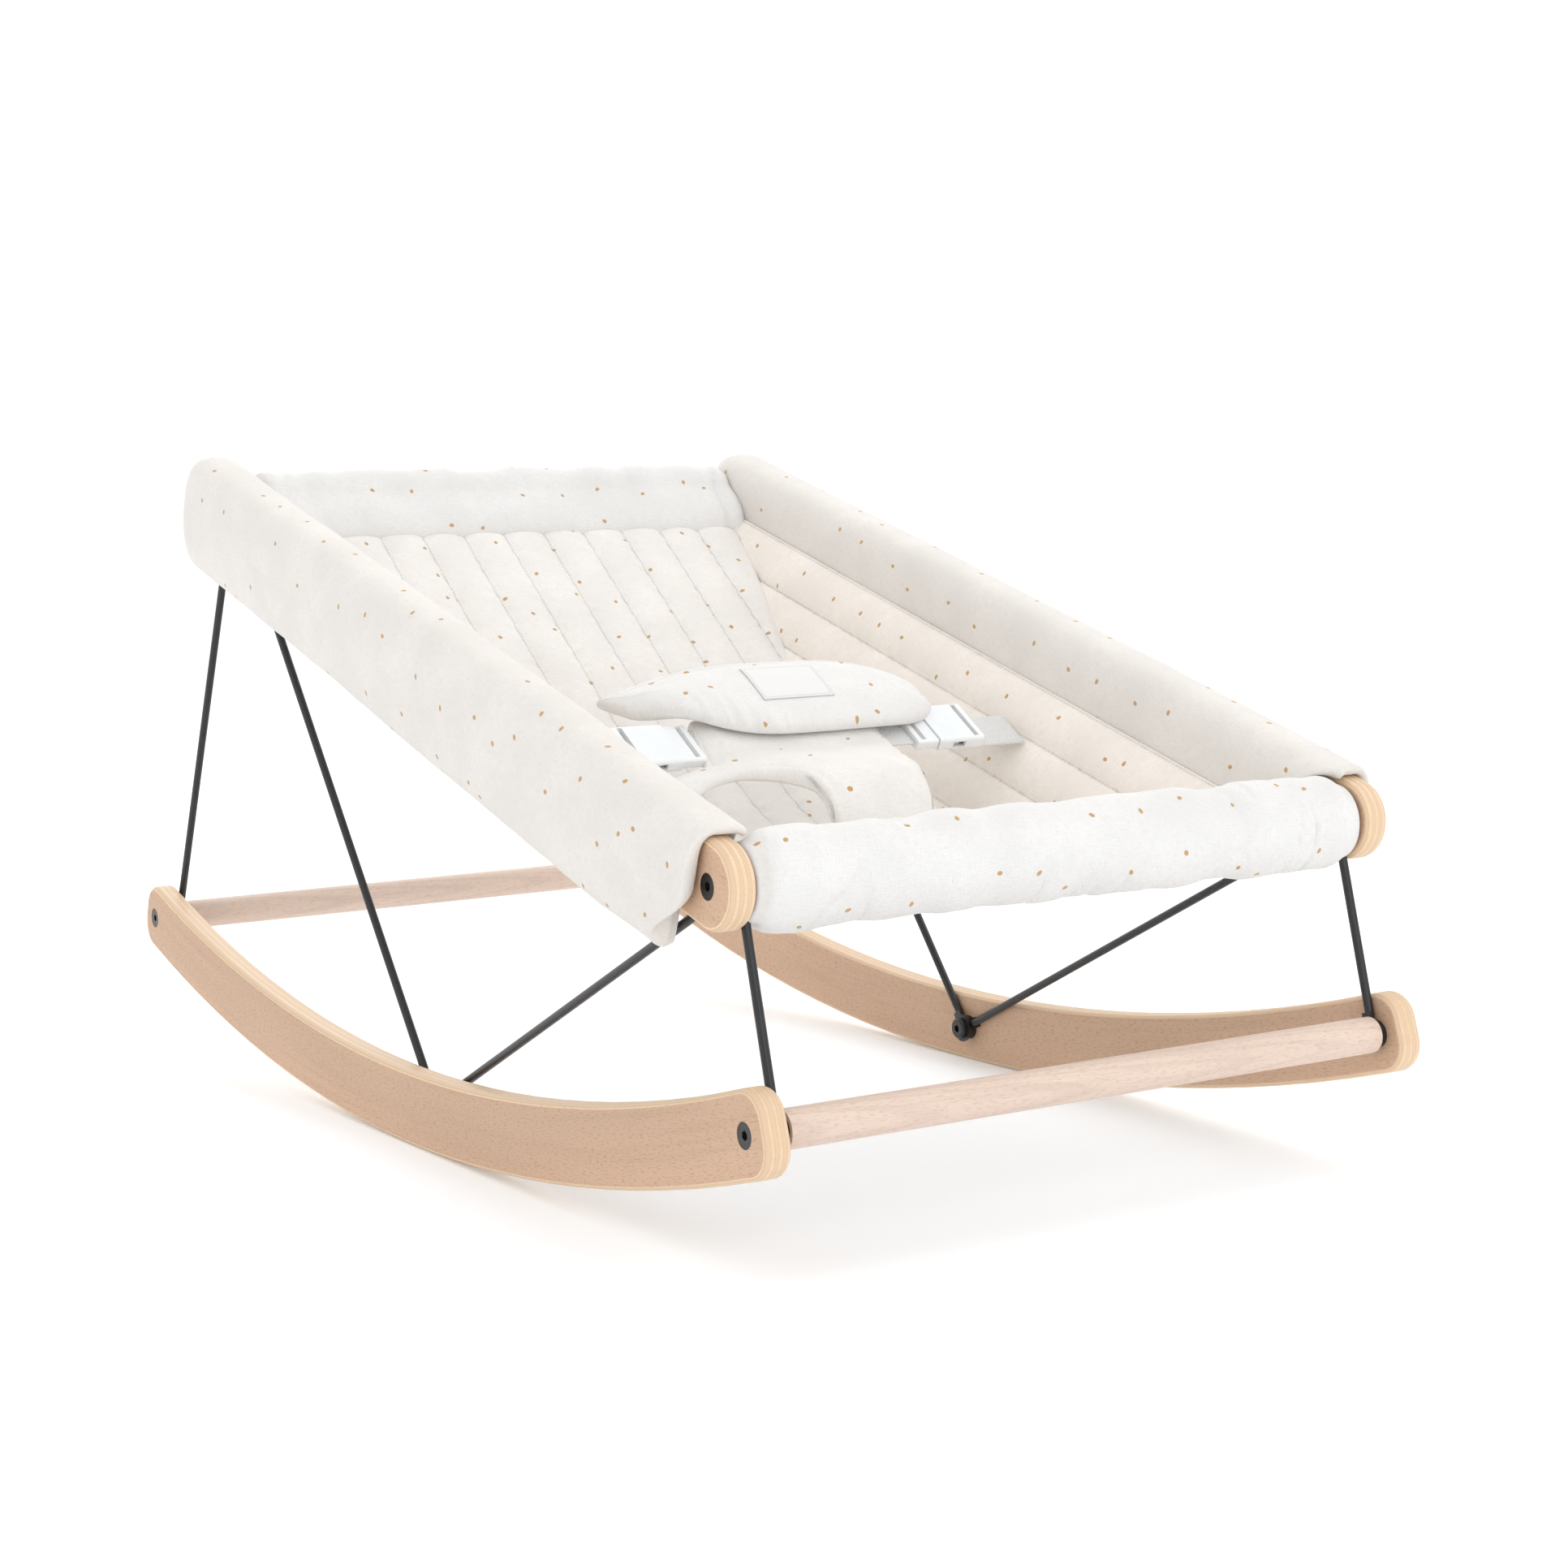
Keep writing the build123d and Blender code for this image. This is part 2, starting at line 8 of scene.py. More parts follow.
import bmesh
import bpy
import numpy as np
from bpy.props import FloatProperty, FloatVectorProperty, IntProperty, PointerProperty
from mathutils import Matrix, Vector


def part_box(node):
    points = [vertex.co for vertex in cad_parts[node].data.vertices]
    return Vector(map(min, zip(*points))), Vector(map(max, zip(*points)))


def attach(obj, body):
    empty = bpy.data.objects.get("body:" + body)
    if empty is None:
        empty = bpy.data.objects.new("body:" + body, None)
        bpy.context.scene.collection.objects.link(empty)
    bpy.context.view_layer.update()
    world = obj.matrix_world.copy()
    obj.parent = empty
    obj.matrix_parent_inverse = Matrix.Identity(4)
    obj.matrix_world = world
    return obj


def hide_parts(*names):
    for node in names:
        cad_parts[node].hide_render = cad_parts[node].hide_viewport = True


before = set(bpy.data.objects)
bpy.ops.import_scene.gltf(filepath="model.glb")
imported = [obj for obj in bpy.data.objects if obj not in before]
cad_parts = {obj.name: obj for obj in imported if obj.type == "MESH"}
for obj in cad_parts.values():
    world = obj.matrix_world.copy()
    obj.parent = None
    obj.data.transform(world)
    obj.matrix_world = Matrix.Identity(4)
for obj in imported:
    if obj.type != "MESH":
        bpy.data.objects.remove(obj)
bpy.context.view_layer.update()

bl_info = {
    "name": "Rocking bouncer seat",
    "version": (1, 0, 0),
    "blender": (4, 5, 0),
    "location": "3D View > Sidebar > Bouncer",
    "description": "Quilted cloth, padding, wood and steel finishes of a bouncer seat",
    "category": "Object",
}

MM = 0.001


# ---------------------------------------------------------------- places from the frame
def middle(node):
    """Centre of a node's box at rest."""
    low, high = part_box(node)
    return (np.array(low) + np.array(high)) / 2


FRONT_BAR = middle("seat_dowel_front")[1:]
REAR_BAR = middle("seat_dowel_rear")[1:]
RAIL_RUN = REAR_BAR - FRONT_BAR
RAIL_LENGTH = float(hypot(*RAIL_RUN))
RAIL_ANGLE = atan2(RAIL_RUN[1], RAIL_RUN[0])
RAIL_OUTER = -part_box("seat_rail_left")[0][0]
RAIL_HALF = (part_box("rocker_left")[1][0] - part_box("rocker_left")[0][0]) / 2
ALONG = np.array([0.0, cos(RAIL_ANGLE), sin(RAIL_ANGLE)])
UPWARD = np.array([0.0, -sin(RAIL_ANGLE), cos(RAIL_ANGLE)])
SLEEVE_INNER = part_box("side_sleeve_left")[1][0]
BELT = middle("waist_belt")
PANEL = 8 * MM  # thickness of the sling
LEAN = radians(30)  # of the side panels, inwards as they go down
SEAM_DROP = 18 * MM  # from the rails' middle line down to the side seams
SEAM_X = SLEEVE_INNER + 0.6 * MM
FOLD = np.array([-30.0, 130.0]) * MM  # (y, z) where back and seat would meet if sharp
FOLD_RADIUS = 170 * MM
BAR_RADIUS = 21 * MM  # of the front sleeve
TAIL = 42 * MM  # from the rear bar to the back panel's upper seam
HARNESS_TILT = radians(33)
SLOPE = np.array([0.0, cos(HARNESS_TILT), sin(HARNESS_TILT)])
SLOPE_OUT = np.array([0.0, -sin(HARNESS_TILT), cos(HARNESS_TILT)])
CROTCH_BASE = np.array([-194.0, 151.0]) * MM  # (y, z) where it is sewn to the seat
PATCH_LONG, PATCH_HIGH = 44 * MM, 29 * MM
PATCH_PLACE = np.array([-2.0, 24.0]) * MM  # its middle on the pad: across, up the slope


# ---------------------------------------------------------------- sizes and colours
class ClothSizes(bpy.types.PropertyGroup):
    """Sizes of the padding and the quilting."""

    puff: FloatProperty(
        name="Puff", description="How far a sewn channel stands above its seams",
        default=3.8 * MM, min=0, unit="LENGTH")
    channel: FloatProperty(
        name="Channel", description="Distance between two quilting seams",
        default=27.5 * MM, min=5 * MM, unit="LENGTH")
    crease: FloatProperty(
        name="Crease", description="Depth of the wrinkles in the bar sleeves",
        default=3.2 * MM, min=0, unit="LENGTH")
    dot: FloatProperty(
        name="Dot", description="Length of one printed dot",
        default=3.1 * MM, min=0, unit="LENGTH")
    spacing: FloatProperty(
        name="Dot spacing", description="Average distance between printed dots",
        default=30 * MM, min=5 * MM, unit="LENGTH")
    steps: IntProperty(
        name="Cloth steps", description="Frames of the cloth simulation on each padded piece",
        default=16, min=2, max=40)


class FinishColours(bpy.types.PropertyGroup):
    """Colours of the cloth, wood, steel and plastic."""

    cotton: FloatVectorProperty(
        name="Cotton", description="Undyed cotton cloth", subtype="COLOR", size=3,
        default=(0.83, 0.82, 0.805), min=0, max=1)
    dots: FloatVectorProperty(
        name="Dots", description="Printed dots", subtype="COLOR", size=3,
        default=(0.50, 0.28, 0.085), min=0, max=1)
    plywood: FloatVectorProperty(
        name="Plywood", description="Face of the beech plywood", subtype="COLOR", size=3,
        default=(0.60, 0.40, 0.272), min=0, max=1)
    ply_edge: FloatVectorProperty(
        name="Plywood edge", description="Light plies in the plywood edge", subtype="COLOR", size=3,
        default=(0.82, 0.60, 0.40), min=0, max=1)
    dowel: FloatVectorProperty(
        name="Dowel", description="Solid beech of the dowels", subtype="COLOR", size=3,
        default=(0.70, 0.555, 0.465), min=0, max=1)
    steel: FloatVectorProperty(
        name="Steel", description="Black coated rods and bolts", subtype="COLOR", size=3,
        default=(0.012, 0.012, 0.013), min=0, max=1)
    plastic: FloatVectorProperty(
        name="Plastic", description="White buckles", subtype="COLOR", size=3,
        default=(0.86, 0.87, 0.88), min=0, max=1)


def sizes():
    """The cloth sizes set in the sidebar."""
    return bpy.context.scene.bouncer_sizes


def colours():
    """The finish colours set in the sidebar."""
    return bpy.context.scene.bouncer_colours


# ---------------------------------------------------------------- numpy surfaces
def patch(points, uv, wrap=False, flip=False):
    """Quads of a grid of points, with a cloth coordinate for each quad corner.

    points is rows x columns x 3 and uv is rows x columns x 2, with one more
    column where wrap joins the last column to the first.
    """
    rows, cols = points.shape[:2]
    wide = uv.shape[1]
    r = np.arange(rows - 1)[:, None]
    c = np.arange(cols if wrap else cols - 1)[None, :]
    after = (c + 1) % cols
    corner = np.stack(np.broadcast_arrays(
        r * cols + c, r * cols + after, (r + 1) * cols + after, (r + 1) * cols + c), -1)
    place = np.stack(np.broadcast_arrays(
        r * wide + c, r * wide + c + 1, (r + 1) * wide + c + 1, (r + 1) * wide + c), -1)
    corner, place = corner.reshape(-1, 4), place.reshape(-1, 4)
    if flip:
        corner, place = corner[:, ::-1], place[:, ::-1]
    return points.reshape(-1, 3), corner, uv.reshape(-1, 2)[place]


def build(name, patches, weld=0.02 * MM):
    """One object from patches, its shared borders and poles welded, shaded smooth."""
    start, points, quads, cloth = 0, [], [], []
    for grid, corner, place in patches:
        points.append(grid)
        quads.append(corner + start)
        cloth.append(place)
        start += len(grid)
    points, quads, cloth = np.concatenate(points), np.concatenate(quads), np.concatenate(cloth)
    mesh = bpy.data.meshes.new(name)
    mesh.vertices.add(len(points))
    mesh.vertices.foreach_set("co", points.astype(np.float32).ravel())
    mesh.loops.add(quads.size)
    mesh.loops.foreach_set("vertex_index", quads.astype(np.int32).ravel())
    mesh.polygons.add(len(quads))
    mesh.polygons.foreach_set("loop_start", np.arange(0, quads.size, 4, dtype=np.int32))
    layer = mesh.uv_layers.new(name="cloth")
    layer.data.foreach_set("uv", cloth.astype(np.float32).ravel())
    mesh.update(calc_edges=True)
    made = bmesh.new()
    made.from_mesh(mesh)
    bmesh.ops.remove_doubles(made, verts=made.verts, dist=weld)
    made.to_mesh(mesh)
    made.free()
    mesh.polygons.foreach_set("use_smooth", np.ones(len(mesh.polygons), dtype=bool))
    mesh.update()
    piece = bpy.data.objects.new(name, mesh)
    bpy.context.scene.collection.objects.link(piece)
    return piece


def normals(points, wrap=False):
    """Unit normals of a grid, from the cross product of its two directions."""
    down = np.gradient(points, axis=0)
    if wrap:
        across = (np.roll(points, -1, axis=1) - np.roll(points, 1, axis=1)) / 2
    else:
        across = np.gradient(points, axis=1)
    cross = np.cross(down, across)
    size = np.linalg.norm(cross, axis=-1, keepdims=True)
    return cross / np.maximum(size, 1e-12)


def soft_noise(shape, reach, seed, wrap_columns=False):
    """Smooth random field from -1 to 1: white noise blurred by a Gaussian of the given reach.

    reach is the blur in rows and columns of the grid.
    """
    rng = np.random.default_rng(seed)
    pad = [int(3 * reach[0]) + 2, 0 if wrap_columns else int(3 * reach[1]) + 2]
    full = (shape[0] + 2 * pad[0], shape[1] + 2 * pad[1])
    raw = rng.standard_normal(full)
    fr = np.fft.fftfreq(full[0])[:, None]
    fc = np.fft.rfftfreq(full[1])[None, :]
    blur = np.exp(-2 * (pi * reach[0] * fr) ** 2 - 2 * (pi * reach[1] * fc) ** 2)
    field = np.fft.irfft2(np.fft.rfft2(raw) * blur, s=full)
    field = field[pad[0]:pad[0] + shape[0], pad[1]:pad[1] + shape[1]]
    return field / max(np.abs(field).max(), 1e-9)


def smooth(x, low, high):
    """0 below low, 1 above high, with an even S between."""
    t = np.clip((np.asarray(x) - low) / (high - low), 0, 1)
    return t * t * (3 - 2 * t)


def rim_steps(count, rim):
    """Steps from 0 to 1, closer together within a share rim of each end."""
    even = np.linspace(0, 1, count)
    edge = np.array([0, 0.08, 0.25, 0.55]) * rim
    inner = even[(even > rim) & (even < 1 - rim)]
    return np.concatenate([edge, [rim], inner, [1 - rim], 1 - edge[::-1]])


def dome(distance, reach):
    """Quarter-round rise from 0 at the rim to 1 at reach inside it."""
    t = np.clip(distance / reach, 0, 1)
    return np.sqrt(np.clip(1 - (1 - t) ** 2, 0, 1))


def line_gap(points, line):
    """Distance of each point from a line of straight pieces."""
    step = np.diff(line, axis=0)
    away = points[:, None, :] - line[None, :-1, :]
    share = (away * step).sum(axis=-1) / (step**2).sum(axis=-1)
    away = away - np.clip(share, 0, 1)[..., None] * step
    return np.linalg.norm(away, axis=-1).min(axis=1)


def run_along(line):
    """Distance along a line of straight pieces from its start to each of its points."""
    return np.concatenate([[0], np.cumsum(np.linalg.norm(np.diff(line, axis=0), axis=1))])


def spread(line, count):
    """Even distances along a line of straight pieces, and the points there."""
    knots = run_along(line)
    even = np.linspace(0, knots[-1], count)
    return even, np.stack([np.interp(even, knots, part) for part in line.T], -1)


def channel_puff(distance, pitch, first=0.0):
    """Crown of a sewn channel: 0 at each seam, 1 midway, steep beside the seam."""
    share = np.mod(distance - first, pitch) / pitch
    return np.abs(np.sin(pi * share)) ** 0.55


def seam_pull(distance, pitch, along, first=0.0, reach=2.6, seed=3):
    """Short puckers beside each seam, fading towards the middle of the channel."""
    share = np.mod(distance - first, pitch) / pitch
    beside = np.abs(np.cos(pi * share)) ** reach
    lane = np.floor((distance - first) / pitch)
    wave = np.sin(2 * pi * along / (11 * MM) + 2.1 * lane + seed)
    wave += 0.7 * np.sin(2 * pi * along / (17 * MM) + 1.3 * lane)
    return beside * wave


def finish(piece, body, material, slot_name, *nodes):
    """Give a piece its material and its body, and hide the solids that it stands for."""
    piece.data.materials.append(material)
    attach(piece, body)
    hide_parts(*nodes)


def vertices(piece):
    """Places of a piece's vertices, one row each."""
    place = np.empty(len(piece.data.vertices) * 3)
    piece.data.vertices.foreach_get("co", place)
    return place.reshape(-1, 3)


def swell(piece, held):
    """Puff a padded piece up with the cloth solver, then keep the result.

    Each point moves along the solver's path by at most limit; held is the
    share, from 0 to 1 for each point, by which a point stays where it was.
    """
    limit, stiffness = 2.5 * MM, 12.0
    scene = bpy.context.scene
    before = vertices(piece)
    group = piece.vertex_groups.new(name="held")
    for level in (0.25, 0.5, 0.75, 1.0):
        chosen = np.flatnonzero((held > level - 0.25) & (held <= level))
        group.add(chosen.tolist(), level, "REPLACE")
    cloth = piece.modifiers.new("swell", "CLOTH")
    settings = cloth.settings
    settings.quality = 5
    settings.mass = 0.15
    settings.tension_stiffness = stiffness
    settings.compression_stiffness = stiffness
    settings.shear_stiffness = stiffness / 2
    settings.bending_stiffness = 0.15
    settings.use_pressure = True
    settings.uniform_pressure_force = 4.0
    settings.effector_weights.gravity = 0
    settings.vertex_group_mass = "held"
    settings.pin_stiffness = 1.0
    last = sizes().steps
    cloth.point_cache.frame_start = 1
    cloth.point_cache.frame_end = last
    for step in range(1, last + 1):
        scene.frame_set(step)
    after = vertices(piece.evaluated_get(bpy.context.evaluated_depsgraph_get()))
    piece.modifiers.remove(cloth)
    piece.vertex_groups.remove(group)
    scene.frame_set(1)
    move = after - before
    size = np.linalg.norm(move, axis=1, keepdims=True)
    if not np.isfinite(size).all() or size.max() < 1e-6:
        raise RuntimeError("the cloth solver moved nothing on " + piece.name)
    move *= limit * np.tanh(size / limit) / np.maximum(size, 1e-9)
    move *= 1 - held[:, None]
    piece.data.vertices.foreach_set("co", (before + move).astype(np.float32).ravel())
    piece.data.update()


# ---------------------------------------------------------------- materials
class Nodes:
    """Short ways to add and link shader nodes in one material."""

    def __init__(self, name):
        self.material = bpy.data.materials.new(name)
        self.material.use_nodes = True
        self.tree = self.material.node_tree
        self.shader = self.tree.nodes["Principled BSDF"]

    def add(self, kind, **values):
        """A new node with its settings."""
        node = self.tree.nodes.new(kind)
        for key, value in values.items():
            setattr(node, key, value)
        return node

    def feed(self, socket, value):
        """Link an output to a socket, or set the socket to a number, vector or colour."""
        if hasattr(value, "is_output"):
            self.tree.links.new(value, socket)
        elif socket.type == "RGBA":
            socket.default_value = (*value, 1.0)
        else:
            socket.default_value = value

    def math(self, operation, a, b=None):
        """One number from one or two."""
        node = self.add("ShaderNodeMath", operation=operation)
        self.feed(node.inputs[0], a)
        if b is not None:
            self.feed(node.inputs[1], b)
        return node.outputs[0]

    def vector(self, operation, a, b=None, scale=None):
        """One vector, or its length, from one or two."""
        node = self.add("ShaderNodeVectorMath", operation=operation)
        self.feed(node.inputs[0], a)
        if b is not None:
            self.feed(node.inputs[1], b)
        if scale is not None:
            self.feed(node.inputs["Scale"], scale)
        return node.outputs["Value" if operation == "LENGTH" else "Vector"]

    def noise(self, where, scale, detail=2.0, roughness=0.5):
        """Smooth noise from 0 to 1."""
        node = self.add("ShaderNodeTexNoise")
        self.feed(node.inputs["Vector"], where)
        self.feed(node.inputs["Scale"], scale)
        self.feed(node.inputs["Detail"], detail)
        self.feed(node.inputs["Roughness"], roughness)
        return node.outputs["Fac"]

    def stretch(self, where, scale):
        """A coordinate with its own scale on each axis."""
        node = self.add("ShaderNodeMapping")
        self.feed(node.inputs["Vector"], where)
        self.feed(node.inputs["Scale"], scale)
        return node.outputs[0]

    def grained(self, where, scale, detail=1.0, roughness=0.5):
        """Noise stretched by its own scale on each axis."""
        return self.noise(self.stretch(where, scale), 1.0, detail, roughness)

    def ramp(self, value, low, high):
        """0 to 1 as value goes from low to high, with an even S between."""
        node = self.add("ShaderNodeMapRange", interpolation_type="SMOOTHSTEP")
        self.feed(node.inputs["Value"], value)
        self.feed(node.inputs["From Min"], low)
        self.feed(node.inputs["From Max"], high)
        return node.outputs["Result"]

    def mix(self, share, a, b):
        """Colour a turning into colour b as share goes from 0 to 1."""
        node = self.add("ShaderNodeMix", data_type="RGBA")
        for place, value in ((0, share), (6, a), (7, b)):
            self.feed(node.inputs[place], value)
        return node.outputs[2]

    def bump(self, height, distance, strength=1.0, under=None):
        """Normal of a fine relief, over another one where under is given."""
        node = self.add("ShaderNodeBump")
        self.feed(node.inputs["Height"], height)
        self.feed(node.inputs["Distance"], distance)
        self.feed(node.inputs["Strength"], strength)
        if under is not None:
            self.feed(node.inputs["Normal"], under)
        return node.outputs["Normal"]

    def xyz(self, where):
        """The three parts of a coordinate."""
        node = self.add("ShaderNodeSeparateXYZ")
        self.feed(node.inputs[0], where)
        return node.outputs

    def done(self, colour, roughness, normal=None, **fixed):
        """The material, with values that are the same all over set on the shader's own sockets."""
        self.feed(self.shader.inputs["Base Color"], colour)
        self.feed(self.shader.inputs["Roughness"], roughness)
        if normal is not None:
            self.feed(self.shader.inputs["Normal"], normal)
        for name, value in fixed.items():
            self.shader.inputs[name.replace("_", " ")].default_value = value
        return self.material


def shade(colour, factor):
    """A colour made lighter or darker by a factor."""
    return tuple(min(1.0, part * factor) for part in colour)


def cotton(name, tint, painted_bounce_warmth=0.0, seams=None):
    """Woven cotton with printed ochre dots, on the piece's cloth coordinate in metres.

    Dots are ovals at jittered cell points, each turned by its own angle. The
    weave is two crossed sets of fine waves. tint is painted light: it makes this
    piece's copy of the one cloth lighter or darker for the light falling on it.
    The warmth setting takes blue out of the cloth as painted warm bounce light.
    seams draws a dashed thread line at every channel: (pitch, first seam),
    measured across the second coordinate.
    """
    kit = Nodes(name)
    # painted light: tint sets how lit or shaded this copy of the cloth looks, and the warmth paints
    # warm bounce light into it
    base = tuple(part * tint for part in colours().cotton)
    base = (base[0], base[1] * (1 - 0.5 * painted_bounce_warmth), base[2] * (1 - painted_bounce_warmth))
    cloth = kit.add("ShaderNodeUVMap", uv_map="cloth").outputs[0]
    wide = kit.noise(cloth, 28.0, 3.0)
    fine = kit.noise(cloth, 900.0, 2.0)
    colour = kit.mix(kit.ramp(wide, 0.35, 0.7), shade(base, 0.955), shade(base, 1.02))
    slub = kit.grained(cloth, (160, 1900, 1))
    slub_across = kit.grained(cloth, (1900, 160, 1))
    thread = kit.math("ADD", slub, slub_across)
    thick_thread = kit.math("MULTIPLY", kit.ramp(thread, 0.92, 1.22), 0.55)
    colour = kit.mix(thick_thread, colour, shade(base, 0.88))
    spacing, dot = sizes().spacing, sizes().dot
    cell = kit.vector("SCALE", cloth, scale=1 / spacing)
    spots = kit.add("ShaderNodeTexVoronoi", voronoi_dimensions="2D")
    kit.feed(spots.inputs["Vector"], cell)
    kit.feed(spots.inputs["Scale"], 1.0)
    kit.feed(spots.inputs["Randomness"], 0.72)
    chance = kit.add("ShaderNodeSeparateColor")
    kit.feed(chance.inputs[0], spots.outputs["Color"])
    turn = kit.add("ShaderNodeVectorRotate", rotation_type="Z_AXIS")
    kit.feed(turn.inputs["Vector"], kit.vector("SUBTRACT", cell, spots.outputs["Position"]))
    kit.feed(turn.inputs["Angle"], kit.math("MULTIPLY", chance.outputs[0], 2 * pi))
    across = dot * 0.72
    oval = kit.vector("MULTIPLY", turn.outputs[0], (2 * spacing / dot, 2 * spacing / across, 0))
    ragged = kit.math("ADD", kit.vector("LENGTH", oval), kit.math("MULTIPLY", fine, 0.35))
    inside = kit.ramp(ragged, 1.3, 1.05)
    some = kit.math("GREATER_THAN", chance.outputs[1], 0.10)
    ink = kit.math("MULTIPLY", kit.math("MULTIPLY", inside, some), 0.9)
    colour = kit.mix(ink, colour, colours().dots)
    parts = kit.xyz(cloth)
    waves = 2 * pi / (0.95 * MM)
    warp = kit.math("SINE", kit.math("MULTIPLY", parts[0], waves))
    weft = kit.math("SINE", kit.math("MULTIPLY", parts[1], waves))
    weave = kit.math("ADD", kit.math("MULTIPLY", warp, weft), kit.math("MULTIPLY", thread, 1.2))
    normal = kit.bump(weave, 0.10 * MM, 0.45)
    normal = kit.bump(wide, 1.2 * MM, 0.35, normal)
    if seams:
        pitch, first = seams
        lane = kit.math("PINGPONG", kit.math("SUBTRACT", parts[1], first), pitch / 2)
        line = kit.ramp(lane, 0.62 * MM, 0.34 * MM)
        dash = kit.ramp(kit.math("PINGPONG", parts[0], 1.5 * MM), 0.25 * MM, 0.45 * MM)
        stitch = kit.math("MULTIPLY", line, dash)
        colour = kit.mix(kit.math("MULTIPLY", stitch, 0.35), colour, shade(base, 0.62))
        normal = kit.bump(stitch, 0.3 * MM, 0.8, normal)
    return kit.done(colour, 0.86, normal, Sheen_Weight=0.25, Sheen_Roughness=0.5,
                    Specular_IOR_Level=0.25, Sheen_Tint=(1, 0.97, 0.92, 1))


def label_cloth():
    """Plain smooth cloth of the sewn-on patch, with a stitched border."""
    kit = Nodes("label_cloth")
    cloth = kit.add("ShaderNodeUVMap", uv_map="cloth").outputs[0]
    parts = kit.xyz(cloth)
    fine = kit.noise(cloth, 1500.0, 2.0)
    base = (0.79, 0.785, 0.775)
    colour = kit.mix(fine, shade(base, 0.95), base)
    edge = kit.math("MINIMUM",
                    kit.math("SUBTRACT", PATCH_LONG / 2, kit.math("ABSOLUTE", parts[0])),
                    kit.math("SUBTRACT", PATCH_HIGH / 2, kit.math("ABSOLUTE", parts[1])))
    line = kit.ramp(kit.math("ABSOLUTE", kit.math("SUBTRACT", edge, 1.6 * MM)), 0.5 * MM, 0.25 * MM)
    run = kit.math("ADD", parts[0], parts[1])
    dash = kit.ramp(kit.math("PINGPONG", run, 1.2 * MM), 0.2 * MM, 0.4 * MM)
    stitch = kit.math("MULTIPLY", line, dash)
    colour = kit.mix(kit.math("MULTIPLY", stitch, 0.6), colour, shade(base, 0.72))
    return kit.done(colour, 0.75, kit.bump(kit.math("ADD", fine, stitch), 0.12 * MM, 0.5),
                    Sheen_Weight=0.15, Specular_IOR_Level=0.3)


def webbing():
    """White woven strap: fine chevron ribs along the length, with painted shade in the rib troughs.
    """
    kit = Nodes("webbing")
    cloth = kit.add("ShaderNodeUVMap", uv_map="cloth").outputs[0]
    parts = kit.xyz(cloth)
    fold = kit.math("PINGPONG", parts[1], 2.5 * MM)
    turns = kit.math("MULTIPLY", kit.math("ADD", parts[0], fold), 2 * pi / (1.3 * MM))
    rib = kit.math("SINE", turns)
    # painted shade: the strap is darker in the troughs of the ribs and lighter on their crests
    tone = kit.mix(kit.ramp(rib, -0.8, 0.8), (0.66, 0.66, 0.65), (0.83, 0.83, 0.82))
    return kit.done(tone, 0.7, kit.bump(rib, 0.25 * MM, 0.6), Sheen_Weight=0.15)


def grain(kit, along, across, depth, base, flecks=1.0):
    """Beech figure: soft streaks along the grain and short dark flecks."""
    joined = kit.add("ShaderNodeCombineXYZ")
    for socket, value in zip(joined.inputs, (along, across, depth)):
        kit.feed(socket, value)
    where = joined.outputs[0]
    streak = kit.grained(where, (7, 190, 190), 4.0, 0.6)
    broad = kit.grained(where, (2.2, 26, 26), 2.0)
    fleck = kit.grained(where, (260, 1500, 1500), 1.5)
    colour = kit.mix(kit.ramp(broad, 0.3, 0.7), shade(base, 0.93), shade(base, 1.06))
    long_streak = kit.math("MULTIPLY", kit.ramp(streak, 0.45, 0.75), 0.45)
    colour = kit.mix(long_streak, colour, shade(base, 0.80))
    dark = kit.math("MULTIPLY", kit.ramp(fleck, 0.52, 0.68), 0.42 * flecks)
    colour = kit.mix(dark, colour, (base[0] * 0.55, base[1] * 0.45, base[2] * 0.38))
    return colour, streak, fleck


